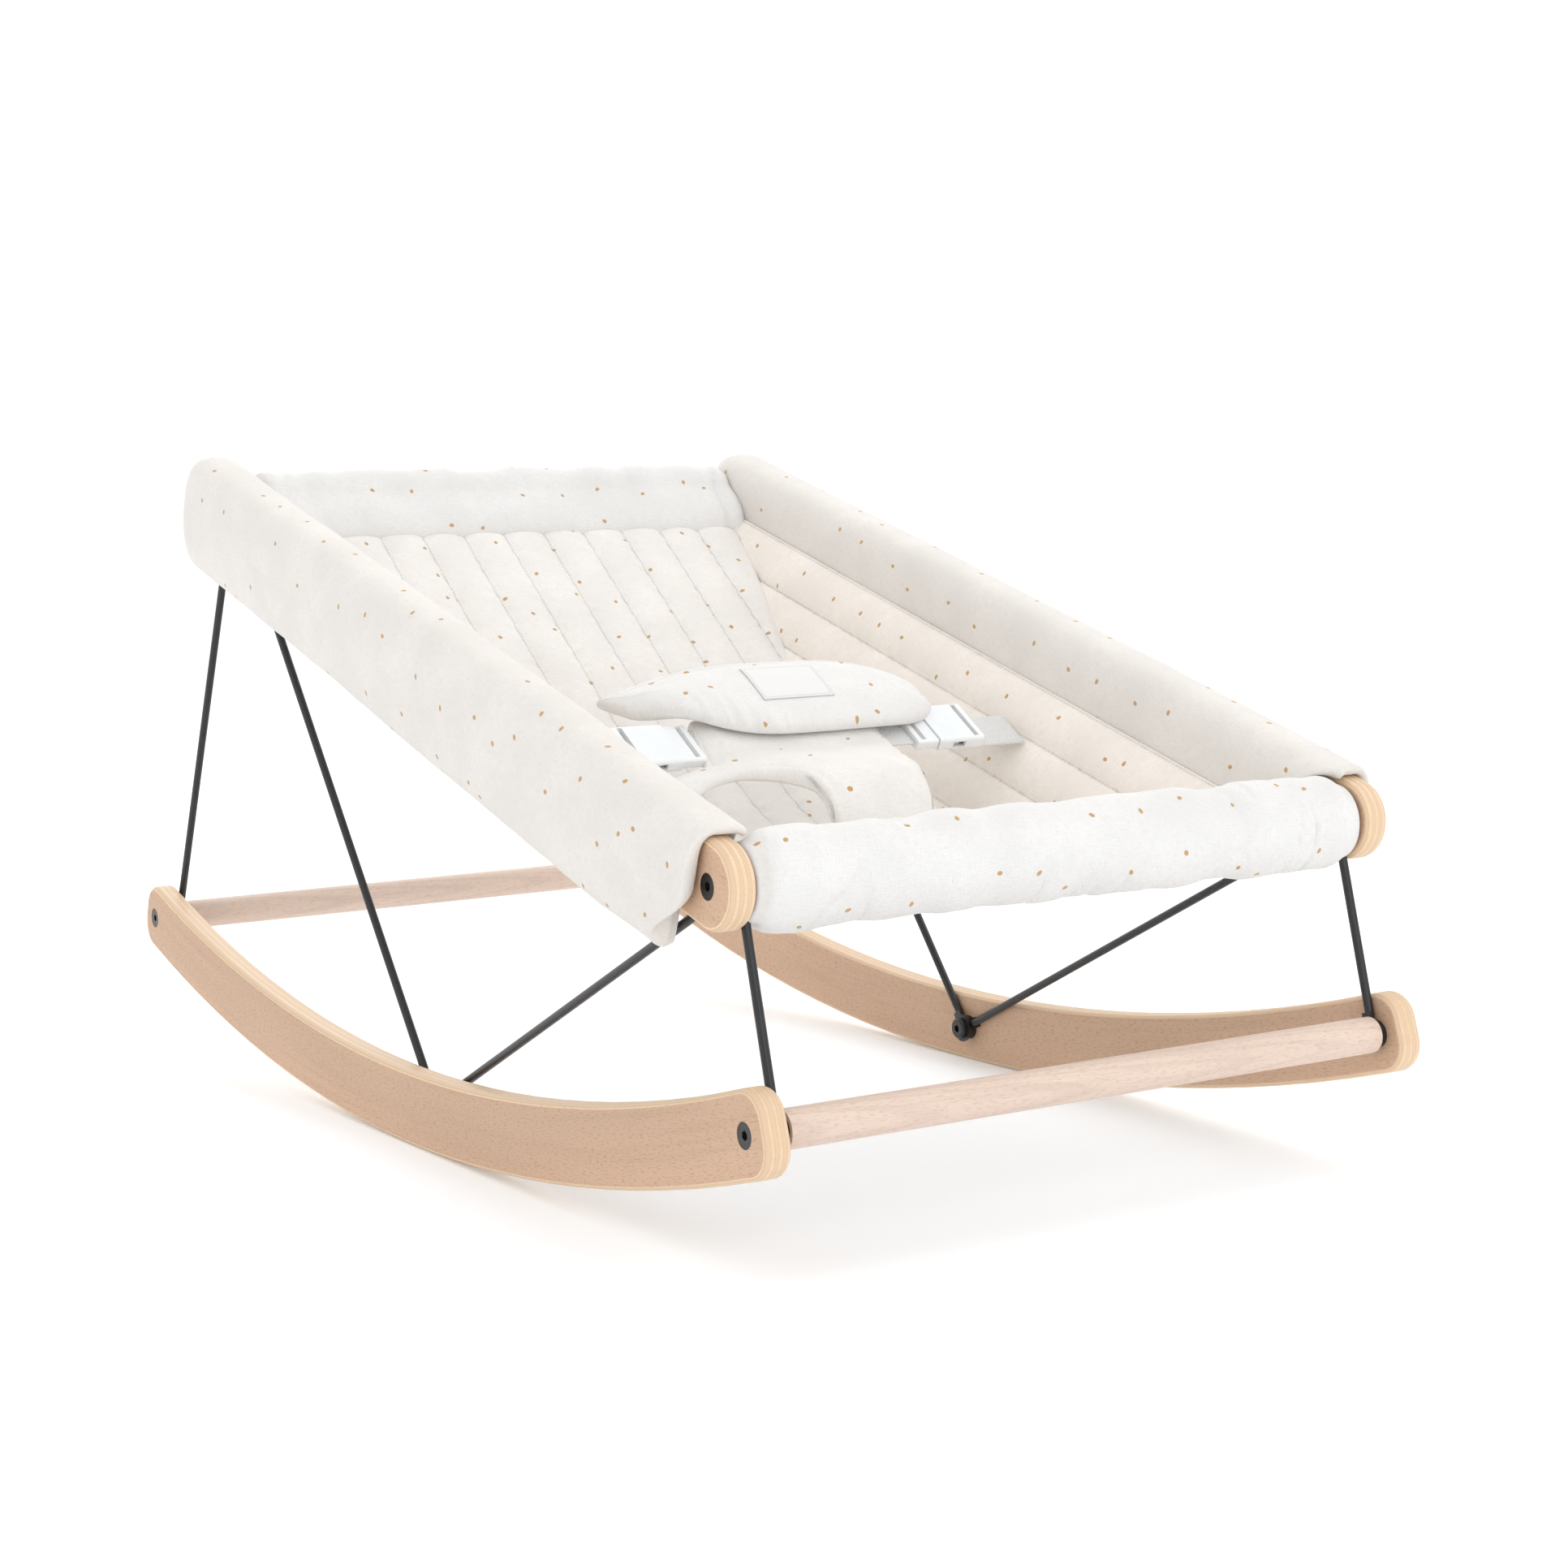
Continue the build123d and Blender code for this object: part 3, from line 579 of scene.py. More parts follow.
def plywood(name, curved):
    """Beech plywood: flecked faces, and seven plies showing on the rounded edges.

    The grain follows the rocker's arc or the rail's line; the plies are bands
    across the thickness, shown where the surface turns away from sideways.
    """
    kit = Nodes(name)
    places = kit.add("ShaderNodeTexCoord")
    here = places.outputs["Object"]
    x, y, z = kit.xyz(here)[:3]
    if curved:
        centre_y, centre_z = -18 * MM, 1280 * MM
        dy = kit.math("SUBTRACT", y, centre_y)
        dz = kit.math("SUBTRACT", centre_z, z)
        along = kit.math("MULTIPLY", kit.math("ARCTAN2", dy, dz), centre_z)
        square = kit.math("ADD", kit.math("MULTIPLY", dy, dy), kit.math("MULTIPLY", dz, dz))
        across = kit.math("SQRT", square)
    else:
        rise, level = sin(RAIL_ANGLE), cos(RAIL_ANGLE)
        along = kit.math("ADD", kit.math("MULTIPLY", y, level), kit.math("MULTIPLY", z, rise))
        across = kit.math("SUBTRACT", kit.math("MULTIPLY", z, level), kit.math("MULTIPLY", y, rise))
    face, streak, fleck = grain(kit, along, across, x, colours().plywood)
    depth = kit.math("SUBTRACT", RAIL_OUTER, kit.math("ABSOLUTE", x))
    wobble = kit.math("MULTIPLY", kit.grained(here, (3, 9, 9)), 0.5 * MM)
    ply = 2 * MM
    band = kit.math("PINGPONG", kit.math("ADD", depth, wobble), ply)
    light, _, _ = grain(kit, along, depth, across, colours().ply_edge, 0.5)
    edge = kit.mix(kit.ramp(band, 0.75 * MM, 1.25 * MM), light, shade(colours().ply_edge, 0.86))
    glue = kit.ramp(kit.math("ABSOLUTE", kit.math("SUBTRACT", band, ply / 2)), 0.20 * MM, 0.08 * MM)
    edge = kit.mix(kit.math("MULTIPLY", glue, 0.4), edge, shade(colours().ply_edge, 0.52))
    turned = kit.math("ABSOLUTE", kit.xyz(places.outputs["Normal"])[0])
    colour = kit.mix(kit.ramp(turned, 0.965, 0.90), face, edge)
    worn = kit.math("MULTIPLY", kit.ramp(turned, 0.99, 0.8), 0.06)
    rough = kit.math("ADD", kit.math("MULTIPLY", streak, 0.12), kit.math("SUBTRACT", 0.46, worn))
    relief = kit.math("ADD", streak, kit.math("MULTIPLY", fleck, -0.6))
    return kit.done(colour, rough, kit.bump(relief, 0.12 * MM, 0.5), Specular_IOR_Level=0.35)


def dowel_wood():
    """Solid beech turned round: pores and growth lines run along X."""
    kit = Nodes("beech_dowel")
    here = kit.add("ShaderNodeTexCoord").outputs["Object"]
    x, y, z = kit.xyz(here)[:3]
    drift = kit.math("ADD", y, kit.math("MULTIPLY", x, 0.05))
    colour, streak, fleck = grain(kit, x, drift, z, colours().dowel, 0.6)
    growth = 3.4 * MM
    sway = kit.math("MULTIPLY", kit.grained(here, (5, 60, 60)), 6 * MM)
    line = kit.math("SINE", kit.math("MULTIPLY", kit.math("ADD", drift, sway), 2 * pi / growth))
    dark = kit.math("MULTIPLY", kit.ramp(line, 0.2, 0.95), 0.22)
    colour = kit.mix(dark, colour, shade(colours().dowel, 0.72))
    rough = kit.math("ADD", kit.math("MULTIPLY", streak, 0.15), 0.45)
    relief = kit.math("SUBTRACT", streak, fleck)
    return kit.done(colour, rough, kit.bump(relief, 0.12 * MM, 0.4), Specular_IOR_Level=0.35)


def black_steel(name, rough, texture):
    """Black coating on steel: fine orange peel, with paler rubbed spots."""
    kit = Nodes(name)
    where = kit.add("ShaderNodeTexCoord").outputs["Object"]
    peel = kit.noise(where, texture, 2.0)
    rubbed = kit.ramp(kit.noise(where, 60.0, 3.0), 0.62, 0.8)
    pale = shade(colours().steel, 3.2)
    colour = kit.mix(kit.math("MULTIPLY", rubbed, 0.4), colours().steel, pale)
    roughness = kit.math("ADD", kit.math("MULTIPLY", peel, 0.14), rough - 0.07)
    return kit.done(colour, roughness, kit.bump(peel, 0.06 * MM, 0.35), Specular_IOR_Level=0.5)


def brass():
    """Turned brass of the inserts, with fine tool rings."""
    kit = Nodes("brass")
    where = kit.add("ShaderNodeTexCoord").outputs["Object"]
    rings = kit.math("SINE", kit.math("MULTIPLY", kit.xyz(where)[0], 2 * pi / (0.7 * MM)))
    stain = kit.noise(where, 180.0, 3.0)
    colour = kit.mix(kit.ramp(stain, 0.35, 0.75), (0.72, 0.50, 0.20), (0.50, 0.33, 0.13))
    rough = kit.math("ADD", kit.math("MULTIPLY", stain, 0.2), 0.22)
    return kit.done(colour, rough, kit.bump(rings, 0.08 * MM, 0.5), Metallic=1.0)


def white_plastic():
    """Moulded white plastic, glossy, with a faint flow mottle."""
    kit = Nodes("white_plastic")
    where = kit.add("ShaderNodeTexCoord").outputs["Object"]
    flow = kit.noise(where, 70.0, 2.0)
    fine = kit.noise(where, 1400.0, 1.0)
    base = colours().plastic
    colour = kit.mix(flow, shade(base, 0.95), base)
    roughness = kit.math("ADD", kit.math("MULTIPLY", flow, 0.12), 0.22)
    return kit.done(colour, roughness, kit.bump(fine, 0.02 * MM, 0.3), Specular_IOR_Level=0.5,
                    Subsurface_Weight=0.05)


# ---------------------------------------------------------------- sling profile
def sling_profile(count):
    """Middle line of the back and seat, as (y, z) from the rear seam to the front bar.

    Two straight lines meet at the fold and are rounded by an arc tangent to
    both. The points are evenly spaced along the line.
    """
    to_rear = (REAR_BAR - FOLD) / hypot(*(REAR_BAR - FOLD))
    to_front = (FRONT_BAR - FOLD) / hypot(*(FRONT_BAR - FOLD))
    start = REAR_BAR - to_rear * TAIL
    end = FRONT_BAR - to_front * (BAR_RADIUS + 0.3 * MM)
    half = np.arccos(np.clip(np.dot(to_rear, to_front), -1, 1)) / 2
    reach = FOLD_RADIUS / tan(half)
    centre = FOLD + (to_rear + to_front) / hypot(*(to_rear + to_front)) * FOLD_RADIUS / sin(half)
    first, last = FOLD + to_rear * reach, FOLD + to_front * reach
    a0 = atan2(*(first - centre)[::-1])
    a1 = atan2(*(last - centre)[::-1])
    turn = np.linspace(a0, a1, 400)
    arc = centre + FOLD_RADIUS * np.stack([np.cos(turn), np.sin(turn)], -1)
    line = np.concatenate([start[None], arc, end[None]])
    run = np.concatenate([[0], np.cumsum(np.hypot(*np.diff(line, axis=0).T))])
    where = np.linspace(0, run[-1], count)
    return np.stack([np.interp(where, run, part) for part in line.T], -1), where


def seam_line(distance):
    """(y, z) of the side seam's top line at a distance along the rail."""
    run = np.asarray(distance)[..., None]
    return FRONT_BAR + run * ALONG[1:] - SEAM_DROP * UPWARD[1:]


def lean_x(y, z):
    """How far from the middle plane the side panel's middle line lies at (y, z)."""
    below = -((y - FRONT_BAR[0]) * UPWARD[1] + (z - FRONT_BAR[1]) * UPWARD[2]) - SEAM_DROP
    return -SEAM_X - PANEL / 2 / cos(LEAN) - below * tan(LEAN)


# ---------------------------------------------------------------- operators
class BOUNCER_OT_frame_finishes(bpy.types.Operator):
    """Give every wood, steel, brass and plastic part of the frame its own finish."""

    bl_idname = "bouncer.frame_finishes"
    bl_label = "Frame finishes"

    def execute(self, context):
        """Assign materials by the kind of part."""
        rocker_ply = plywood("rocker_plywood", True)
        rail_ply = plywood("rail_plywood", False)
        dowel = dowel_wood()
        rods = black_steel("black_rod", 0.30, 900.0)
        bolts = black_steel("black_hardware", 0.34, 2200.0)
        metal = brass()
        plastic = white_plastic()
        for name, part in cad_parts.items():
            if name.startswith("rocker_dowel") or name.startswith("seat_dowel"):
                material = dowel
            elif name in ("rocker_left", "rocker_right"):
                material = rocker_ply
            elif name.startswith("seat_rail"):
                material = rail_ply
            elif name.startswith("rod_"):
                material = rods
            elif name.endswith("inserts"):
                material = metal
            elif name.startswith(("buckle", "latch")):
                material = plastic
            elif name.endswith(("bolts", "washers", "spacers")):
                material = bolts
            else:
                continue
            part.data.materials.clear()
            part.data.materials.append(material)
        return {"FINISHED"}


def sleeve_section(turn, reach_low, reach_high, half_width, power):
    """Rounded upright section: a superellipse, taller below its centre than above.

    turn runs round the section from the outer side over the top. Returns the
    sideways and upward offsets as arrays.
    """
    side = np.sign(np.cos(turn)) * np.abs(np.cos(turn)) ** (2 / power)
    rise = np.sign(np.sin(turn)) * np.abs(np.sin(turn)) ** (2 / power)
    middle_rise = (reach_high - reach_low) / 2
    half_height = (reach_high + reach_low) / 2
    return half_width * side, middle_rise + half_height * rise


# sections of a side sleeve: reach below, reach above, half width, power
OUTSIDE = (46 * MM, 26 * MM, 18.6 * MM, 2.8)
LINING = (22.5 * MM, 21.2 * MM, 11.6 * MM, 5.0)


class BOUNCER_OT_side_sleeves(bpy.types.Operator):
    """Padded sleeves that wrap the two seat rails, closed behind, open at the front."""

    bl_idname = "bouncer.side_sleeves"
    bl_label = "Side sleeves"

    def execute(self, context):
        """Carry a rounded section along the rail, turn it in at the front hem and line it."""
        # painted light: the sleeves' cloth is darkened to 0.93 and warmed with painted bounce light
        material = cotton("side_sleeve_cotton", 0.93, painted_bounce_warmth=0.065)
        for side, name in ((-1, "left"), (1, "right")):
            cols = 168
            wide = np.linspace(0, 1, cols + 1)
            # points evenly spaced round the outline
            all_turns = np.linspace(0, 2 * pi, 6000)
            girth = run_along(np.stack(sleeve_section(all_turns, *OUTSIDE), -1))
            turn = np.interp(wide[:-1] * girth[-1], girth, all_turns)
            # outside: from the rear pole to the front hem
            rear_end = RAIL_LENGTH + (31 if side < 0 else 25) * MM
            cap = 28 * MM
            arc = np.linspace(0, pi / 2, 14)
            back = rear_end - cap * (1 - np.sin(arc[::-1]))
            shrink_cap = np.cos(arc[::-1])
            straight = np.linspace(rear_end - cap, 0, 170)[1:]
            outer_run = np.concatenate([back, straight])
            outer_scale = np.concatenate([shrink_cap, np.ones(len(straight))])
            # the hem: a half turn inwards, then the lining back to the rear pole
            roll = np.linspace(0, pi, 9)[1:-1]
            hem_run = -np.sin(roll) * 2.2 * MM
            hem_share = (1 - np.cos(roll)) / 2
            bend = np.linspace(0, pi / 2, 14)[1:]
            lining = np.concatenate([
                np.linspace(0, RAIL_LENGTH, 50), RAIL_LENGTH + 21.8 * MM * np.sin(bend)])
            lining_scale = np.concatenate([np.ones(50), np.cos(bend)])
            run = np.concatenate([outer_run, hem_run, lining])
            count = len(run)
            inward = np.concatenate([
                np.zeros(len(outer_run)), hem_share, np.ones(len(lining))])[:, None]
            scale = np.concatenate([outer_scale, np.ones(len(hem_run)), lining_scale])[:, None]
            out_x, out_z = sleeve_section(turn, *OUTSIDE)
            # the hem: forward on the outer face, back behind the front bar and below
            inside = smooth(-np.cos(turn), -0.2, 0.75)
            below_bar = smooth(-out_z, 8 * MM, 43 * MM)
            round_bar = 2 * MM + np.sqrt(np.clip((24 * MM) ** 2 - out_z**2, 0, None))
            set_back = 7 * MM + (round_bar - 7 * MM) * inside * (1 - below_bar)
            set_back += (26 + 48 * inside) * MM * below_bar
            under_side = (out_z < 0) * np.exp(-(out_x / (8 * MM)) ** 2)
            under_seam = (out_z < 0) * np.exp(-(out_x / (1.1 * MM)) ** 2)
            blend = 230 * MM
            shift = set_back[None, :] * (1 - smooth(run, 0, blend))[:, None]
            # front end: the lower edge rises and thins towards the hem
            near = 1 - smooth(run, 8 * MM, 60 * MM)[:, None]
            below = np.clip(-out_z, 0, None)[None, :] / OUTSIDE[0]
            # the top sinks by an eighth towards the rear
            flatter = 1 - 0.125 * smooth(run, blend, RAIL_LENGTH)[:, None] * (out_z > 0)[None, :]
            out_z = out_z[None, :] * flatter + near * below * 3 * MM
            out_x = out_x[None, :] * np.ones((count, 1))
            in_x, in_z = sleeve_section(turn, *LINING)
            section_x = out_x * (1 - inward) + (in_x[None, :] - 1 * MM) * inward
            section_z = out_z * (1 - inward) + in_z[None, :] * inward
            section_x, section_z = section_x * scale, section_z * scale
            points = np.zeros((count, cols, 3))
            points[..., 0] = side * (RAIL_OUTER - RAIL_HALF - 1.55 * MM + section_x)
            points += (run[:, None] + shift)[..., None] * ALONG
            points += section_z[..., None] * UPWARD
            points[..., 1:] += FRONT_BAR
            face = normals(points, wrap=True) * side
            # wrinkles: long soft waves, with short puckers where hem and seams pull
            soft = soft_noise((count, cols), (9, 14), 11 + side, True)
            short = soft_noise((count, cols), (2.2, 8), 21 + side, True)
            drawn = np.exp(-np.clip(run, 0, None) / (16 * MM))[:, None]
            tail_end = np.exp(-np.clip(rear_end - run, 0, None) / (22 * MM))[:, None]
            pulled = 0.25 + 1.1 * drawn + 0.5 * tail_end + 0.7 * under_side[None, :]
            height = (0.8 * soft + pulled * short - 1.6 * under_seam[None, :]) * MM
            height = height * (1 - inward) * np.clip(scale * 1.4, 0, 1)
            points = points + face * height[..., None]
            around = wide * girth[-1]
            uv = np.stack(np.broadcast_arrays(
                run[:, None] + inward * 0.013 + (0.4 if side > 0 else 0.0), around[None, :]), -1)
            uv[:, :cols, 0] += shift
            uv[:, cols, 0] += shift[:, 0]
            piece = build(
                "side_sleeve_cloth_" + name, [patch(points, uv, wrap=True, flip=side < 0)])
            finish(piece, "frame", material, "dotted_cotton", "side_sleeve_" + name)
        return {"FINISHED"}


def bar_tube(half, section, centre, noise_seed, crease, taper):
    """Tube of cloth round a bar: a section carried along X, gathered into wrinkles.

    section gives the (y, z) offsets of the closed outline. Wrinkles run round
    the tube: noise that is short along X and long round the section. The ends
    draw in over the taper and turn inside.
    """
    cols = len(section)
    rows = 210
    x = np.linspace(-half, half, rows)
    end = half - np.abs(x)
    draw = 1 - 0.16 * (1 - smooth(end, 0, taper))
    points = np.zeros((rows, cols, 3))
    points[..., 0] = x[:, None]
    points[..., 1] = centre[0] + section[None, :, 0] * draw[:, None]
    points[..., 2] = centre[1] + section[None, :, 1] * draw[:, None]
    face = normals(points, wrap=True)
    outward = points[..., 1:] - np.array(centre)
    if (face[..., 1:] * outward).sum() < 0:
        face = -face
    rings = soft_noise((rows, cols), (2.4, 17), noise_seed, True)
    folds = soft_noise((rows, cols), (5.0, 22), noise_seed + 1, True)
    ends = np.exp(-end / (18 * MM))[:, None]
    ridge = np.abs(folds) ** 0.8 * np.sign(folds)
    where = soft_noise((rows, cols), (9, 12), noise_seed + 2, True)
    sharp = np.exp(-(soft_noise((rows, cols), (3.4, 20), noise_seed + 3, True) / 0.06) ** 2)
    sharp = sharp * smooth(where + 0.5 * ends, -0.1, 0.4)
    height = crease * (0.6 * rings * (0.5 + 1.2 * ends) + 0.55 * ridge - 0.42 * sharp)
    points = points + face * height[..., None]
    return points, x


def end_rings(edge, bar, outward):
    """Four rings that turn a sleeve's end in: scaled about the bar and pushed along X."""
    shares = np.array([0.93, 0.8, 0.62, 0.47])
    push = np.array([1.2, 0.6, -1.5, -4.0]) * MM
    on_bar = np.array([0.0, *bar])
    rings = on_bar + (edge - on_bar) * shares[:, None, None]
    rings[..., 0] = edge[None, :, 0] + outward * push[:, None]
    return rings


class BOUNCER_OT_bar_sleeves(bpy.types.Operator):
    """Wrinkled padded sleeves round the front and rear seat dowels."""

    bl_idname = "bouncer.bar_sleeves"
    bl_label = "Front and rear sleeves"

    def execute(self, context):
        """Make each sleeve as a wrinkled tube with turned-in ends."""
        # painted light: the bar sleeves' cloth is darkened to 0.94 for the light falling on them
        material = cotton("bar_sleeve_cotton", 0.94)
        crease = sizes().crease
        turn = np.linspace(0, 2 * pi, 97)[:-1]
        # front: nearly round, a little flat on top, drawn to the seat panel behind
        radius = 22.0 * MM * (1 - 0.03 * np.cos(2 * turn))
        round_section = np.stack([radius * np.cos(turn), radius * np.sin(turn)], -1)
        # rear: a drop shape, its tail towards the back panel's seam
        to_fold = (FOLD - REAR_BAR) / hypot(*(FOLD - REAR_BAR))
        heading = atan2(to_fold[1], to_fold[0])
        off = np.mod(turn - heading + pi, 2 * pi) - pi
        tail = np.exp(-(off / 0.42) ** 2)
        rear_radius = 14.8 * MM
        drop = rear_radius + (TAIL + 2.5 * MM - rear_radius) * tail
        drop_section = np.stack([drop * np.cos(turn), drop * np.sin(turn)], -1)
        jobs = (
            ("front_sleeve", 173.0 * MM, round_section, FRONT_BAR, 31, 12 * MM),
            ("rear_sleeve", 161.6 * MM, drop_section, REAR_BAR, 47, 6 * MM),
        )
        for name, half, section, bar, seed, taper in jobs:
            points, x = bar_tube(half, section, bar, seed, crease, taper)
            points = np.concatenate([
                end_rings(points[0], bar, -1)[::-1], points, end_rings(points[-1], bar, 1)])
            around = run_along(np.vstack([section, section[:1]]))
            beyond = np.array([1.5, 4, 6.5, 9]) * MM
            run = np.concatenate([x[0] - beyond[::-1], x, x[-1] + beyond])
            uv = np.stack(np.broadcast_arrays(run[:, None] + 0.7, around[None, :] + 0.11), -1)
            piece = build(name + "_cloth", [patch(points, uv, wrap=True)])
            finish(piece, "frame", material, "dotted_cotton", name)
        return {"FINISHED"}


def slab(name, middle_points, top, bottom, uv, flip=False):
    """Closed padded sheet: a grid moved out by top on one side and by bottom on the other.

    The top side faces along rows x columns, or the other way where flip is set.
    Both heights are set to 0 on the border, where the two sides are welded.
    """
    face = normals(middle_points)
    if flip:
        face = -face
    top, bottom = np.maximum(top, 0), np.maximum(bottom, 0)
    for height in (top, bottom):
        height[[0, -1]] = 0
        height[:, [0, -1]] = 0
    upper = middle_points + face * top[..., None]
    lower = middle_points - face * bottom[..., None]
    return build(name, [
        patch(upper, uv, flip=not flip),
        patch(lower, uv + np.array([1.3, 0.0]), flip=flip)])


class BOUNCER_OT_quilted_sling(bpy.types.Operator):
    """Quilted back and seat panel with its two leaning side panels."""

    bl_idname = "bouncer.quilted_sling"
    bl_label = "Quilted sling"

    def execute(self, context):
        """Puff each panel into channels between straight rows of stitches."""
        pitch, puff = sizes().channel, sizes().puff
        half_thick = PANEL / 2 - 0.4 * MM
        # back and seat
        profile, run = sling_profile(290)
        width = lean_x(profile[:, 0], profile[:, 1]) - PANEL / 2 / cos(LEAN) * 0.2
        width = np.minimum(width, 161.6 * MM)
        across = rim_steps(150, 0.02) * 2 - 1
        points = np.zeros((len(run), len(across), 3))
        points[..., 0] = width[:, None] * across[None, :]
        points[..., 1] = profile[:, 0][:, None]
        points[..., 2] = profile[:, 1][:, None]
        x = points[..., 0]
        rim = np.minimum(width[:, None] - np.abs(x), np.minimum(run, run[-1] - run)[:, None])
        edge = dome(rim, 5 * MM)
        crown = channel_puff(x, pitch, pitch / 2)
        pull = seam_pull(x, pitch, run[:, None] * np.ones_like(x), pitch / 2)
        soft = soft_noise(x.shape, (9, 9), 5)
        rise = puff * crown + 0.28 * MM * pull + 0.5 * MM * soft
        top = edge * (half_thick - puff * 0.55 + rise)
        bottom = edge * (half_thick - puff * 0.55 + puff * 0.8 * crown + 0.2 * MM * pull)
        uv = np.stack([np.broadcast_to(run[:, None], x.shape), x], -1)
        piece = slab("back_panel_quilt", points, top, bottom, uv)
        # painted light: warm bounce light is painted into the back panel's cloth
        material = cotton("back_quilt_cotton", 1.0, seams=(pitch, pitch / 2), painted_bounce_warmth=0.045)
        finish(piece, "frame", material, "dotted_cotton", "back_panel")
        # side panels
        first_seam = 22 * MM
        # painted light: the shaded side panels' cloth is lightened to 1.06 and warmed with painted
        # bounce light
        side_material = cotton("side_quilt_cotton", 1.06, seams=(pitch, first_seam), painted_bounce_warmth=0.11)
        profile, _ = sling_profile(1500)
        order = np.argsort(profile[:, 0])
        line_y, line_z = profile[order, 0], profile[order, 1]
        down_share = np.linspace(0, 0.2, 500)
        for side, name in ((-1, "left"), (1, "right")):
            along = np.linspace(15 * MM, RAIL_LENGTH - 22 * MM, 300)
            top_line = seam_line(along)
            # distance down the panel at which it meets the back panel
            fall = down_share[None, :] * cos(LEAN)
            y = top_line[:, 0][:, None] - fall * UPWARD[1]
            z = top_line[:, 1][:, None] - fall * UPWARD[2]
            above = z - np.interp(y, line_y, line_z) > -1 * MM
            depth = down_share[np.clip(above.sum(axis=1) - 1, 0, len(down_share) - 1)]
            depth = np.maximum(depth, 3 * MM) + 4 * MM
            level = rim_steps(58, 0.05)
            tuck = 7 * MM
            down = (depth[:, None] + tuck) * level[None, :] - tuck
            points = np.zeros((len(along), len(level), 3))
            points[..., 0] = side * (-SEAM_X - PANEL / 2 * cos(LEAN) - down * sin(LEAN))
            sunk = down * cos(LEAN) - PANEL / 2 * sin(LEAN)
            points[..., 1] = top_line[:, 0][:, None] - sunk * UPWARD[1]
            points[..., 2] = top_line[:, 1][:, None] - sunk * UPWARD[2]
            ends = np.minimum(along - along[0], along[-1] - along)[:, None]
            rim = np.minimum(np.minimum(down + tuck, depth[:, None] - down), ends)
            edge = dome(rim, 4 * MM)
            lengthwise = along[:, None] * np.ones_like(down)
            crown = channel_puff(down, pitch, first_seam)
            pull = seam_pull(down, pitch, lengthwise, first_seam, seed=5)
            soft = soft_noise(down.shape, (12, 7), 15 + side)
            rise = puff * crown + 0.3 * MM * pull + 0.6 * MM * soft
            top = edge * (half_thick - puff * 0.55 + rise)
            bottom = edge * (half_thick - puff * 0.5 + puff * 0.7 * crown)
            uv = np.stack([lengthwise + 0.5 * (side + 2), down], -1)
            piece = slab("side_panel_quilt_" + name, points, top, bottom, uv, flip=side < 0)
            finish(piece, "frame", side_material, "dotted_cotton", "side_panel_" + name)
        return {"FINISHED"}


def crotch_line(reach):
    """(y, z) along the crotch piece: steep from the seat, level, then up the belt's slope.

    The heading turns smoothly from one straight run to the next and is summed
    along the way.
    """
    steep, level, up = radians(76), radians(9), HARNESS_TILT
    heading = steep + (level - steep) * smooth(reach, 22 * MM, 56 * MM)
    heading = heading + (up - level) * smooth(reach, 84 * MM, 108 * MM)
    gap = np.diff(reach, prepend=reach[0])
    y = CROTCH_BASE[0] + np.cumsum(np.cos(heading) * gap)
    z = CROTCH_BASE[1] + np.cumsum(np.sin(heading) * gap)
    return y, z


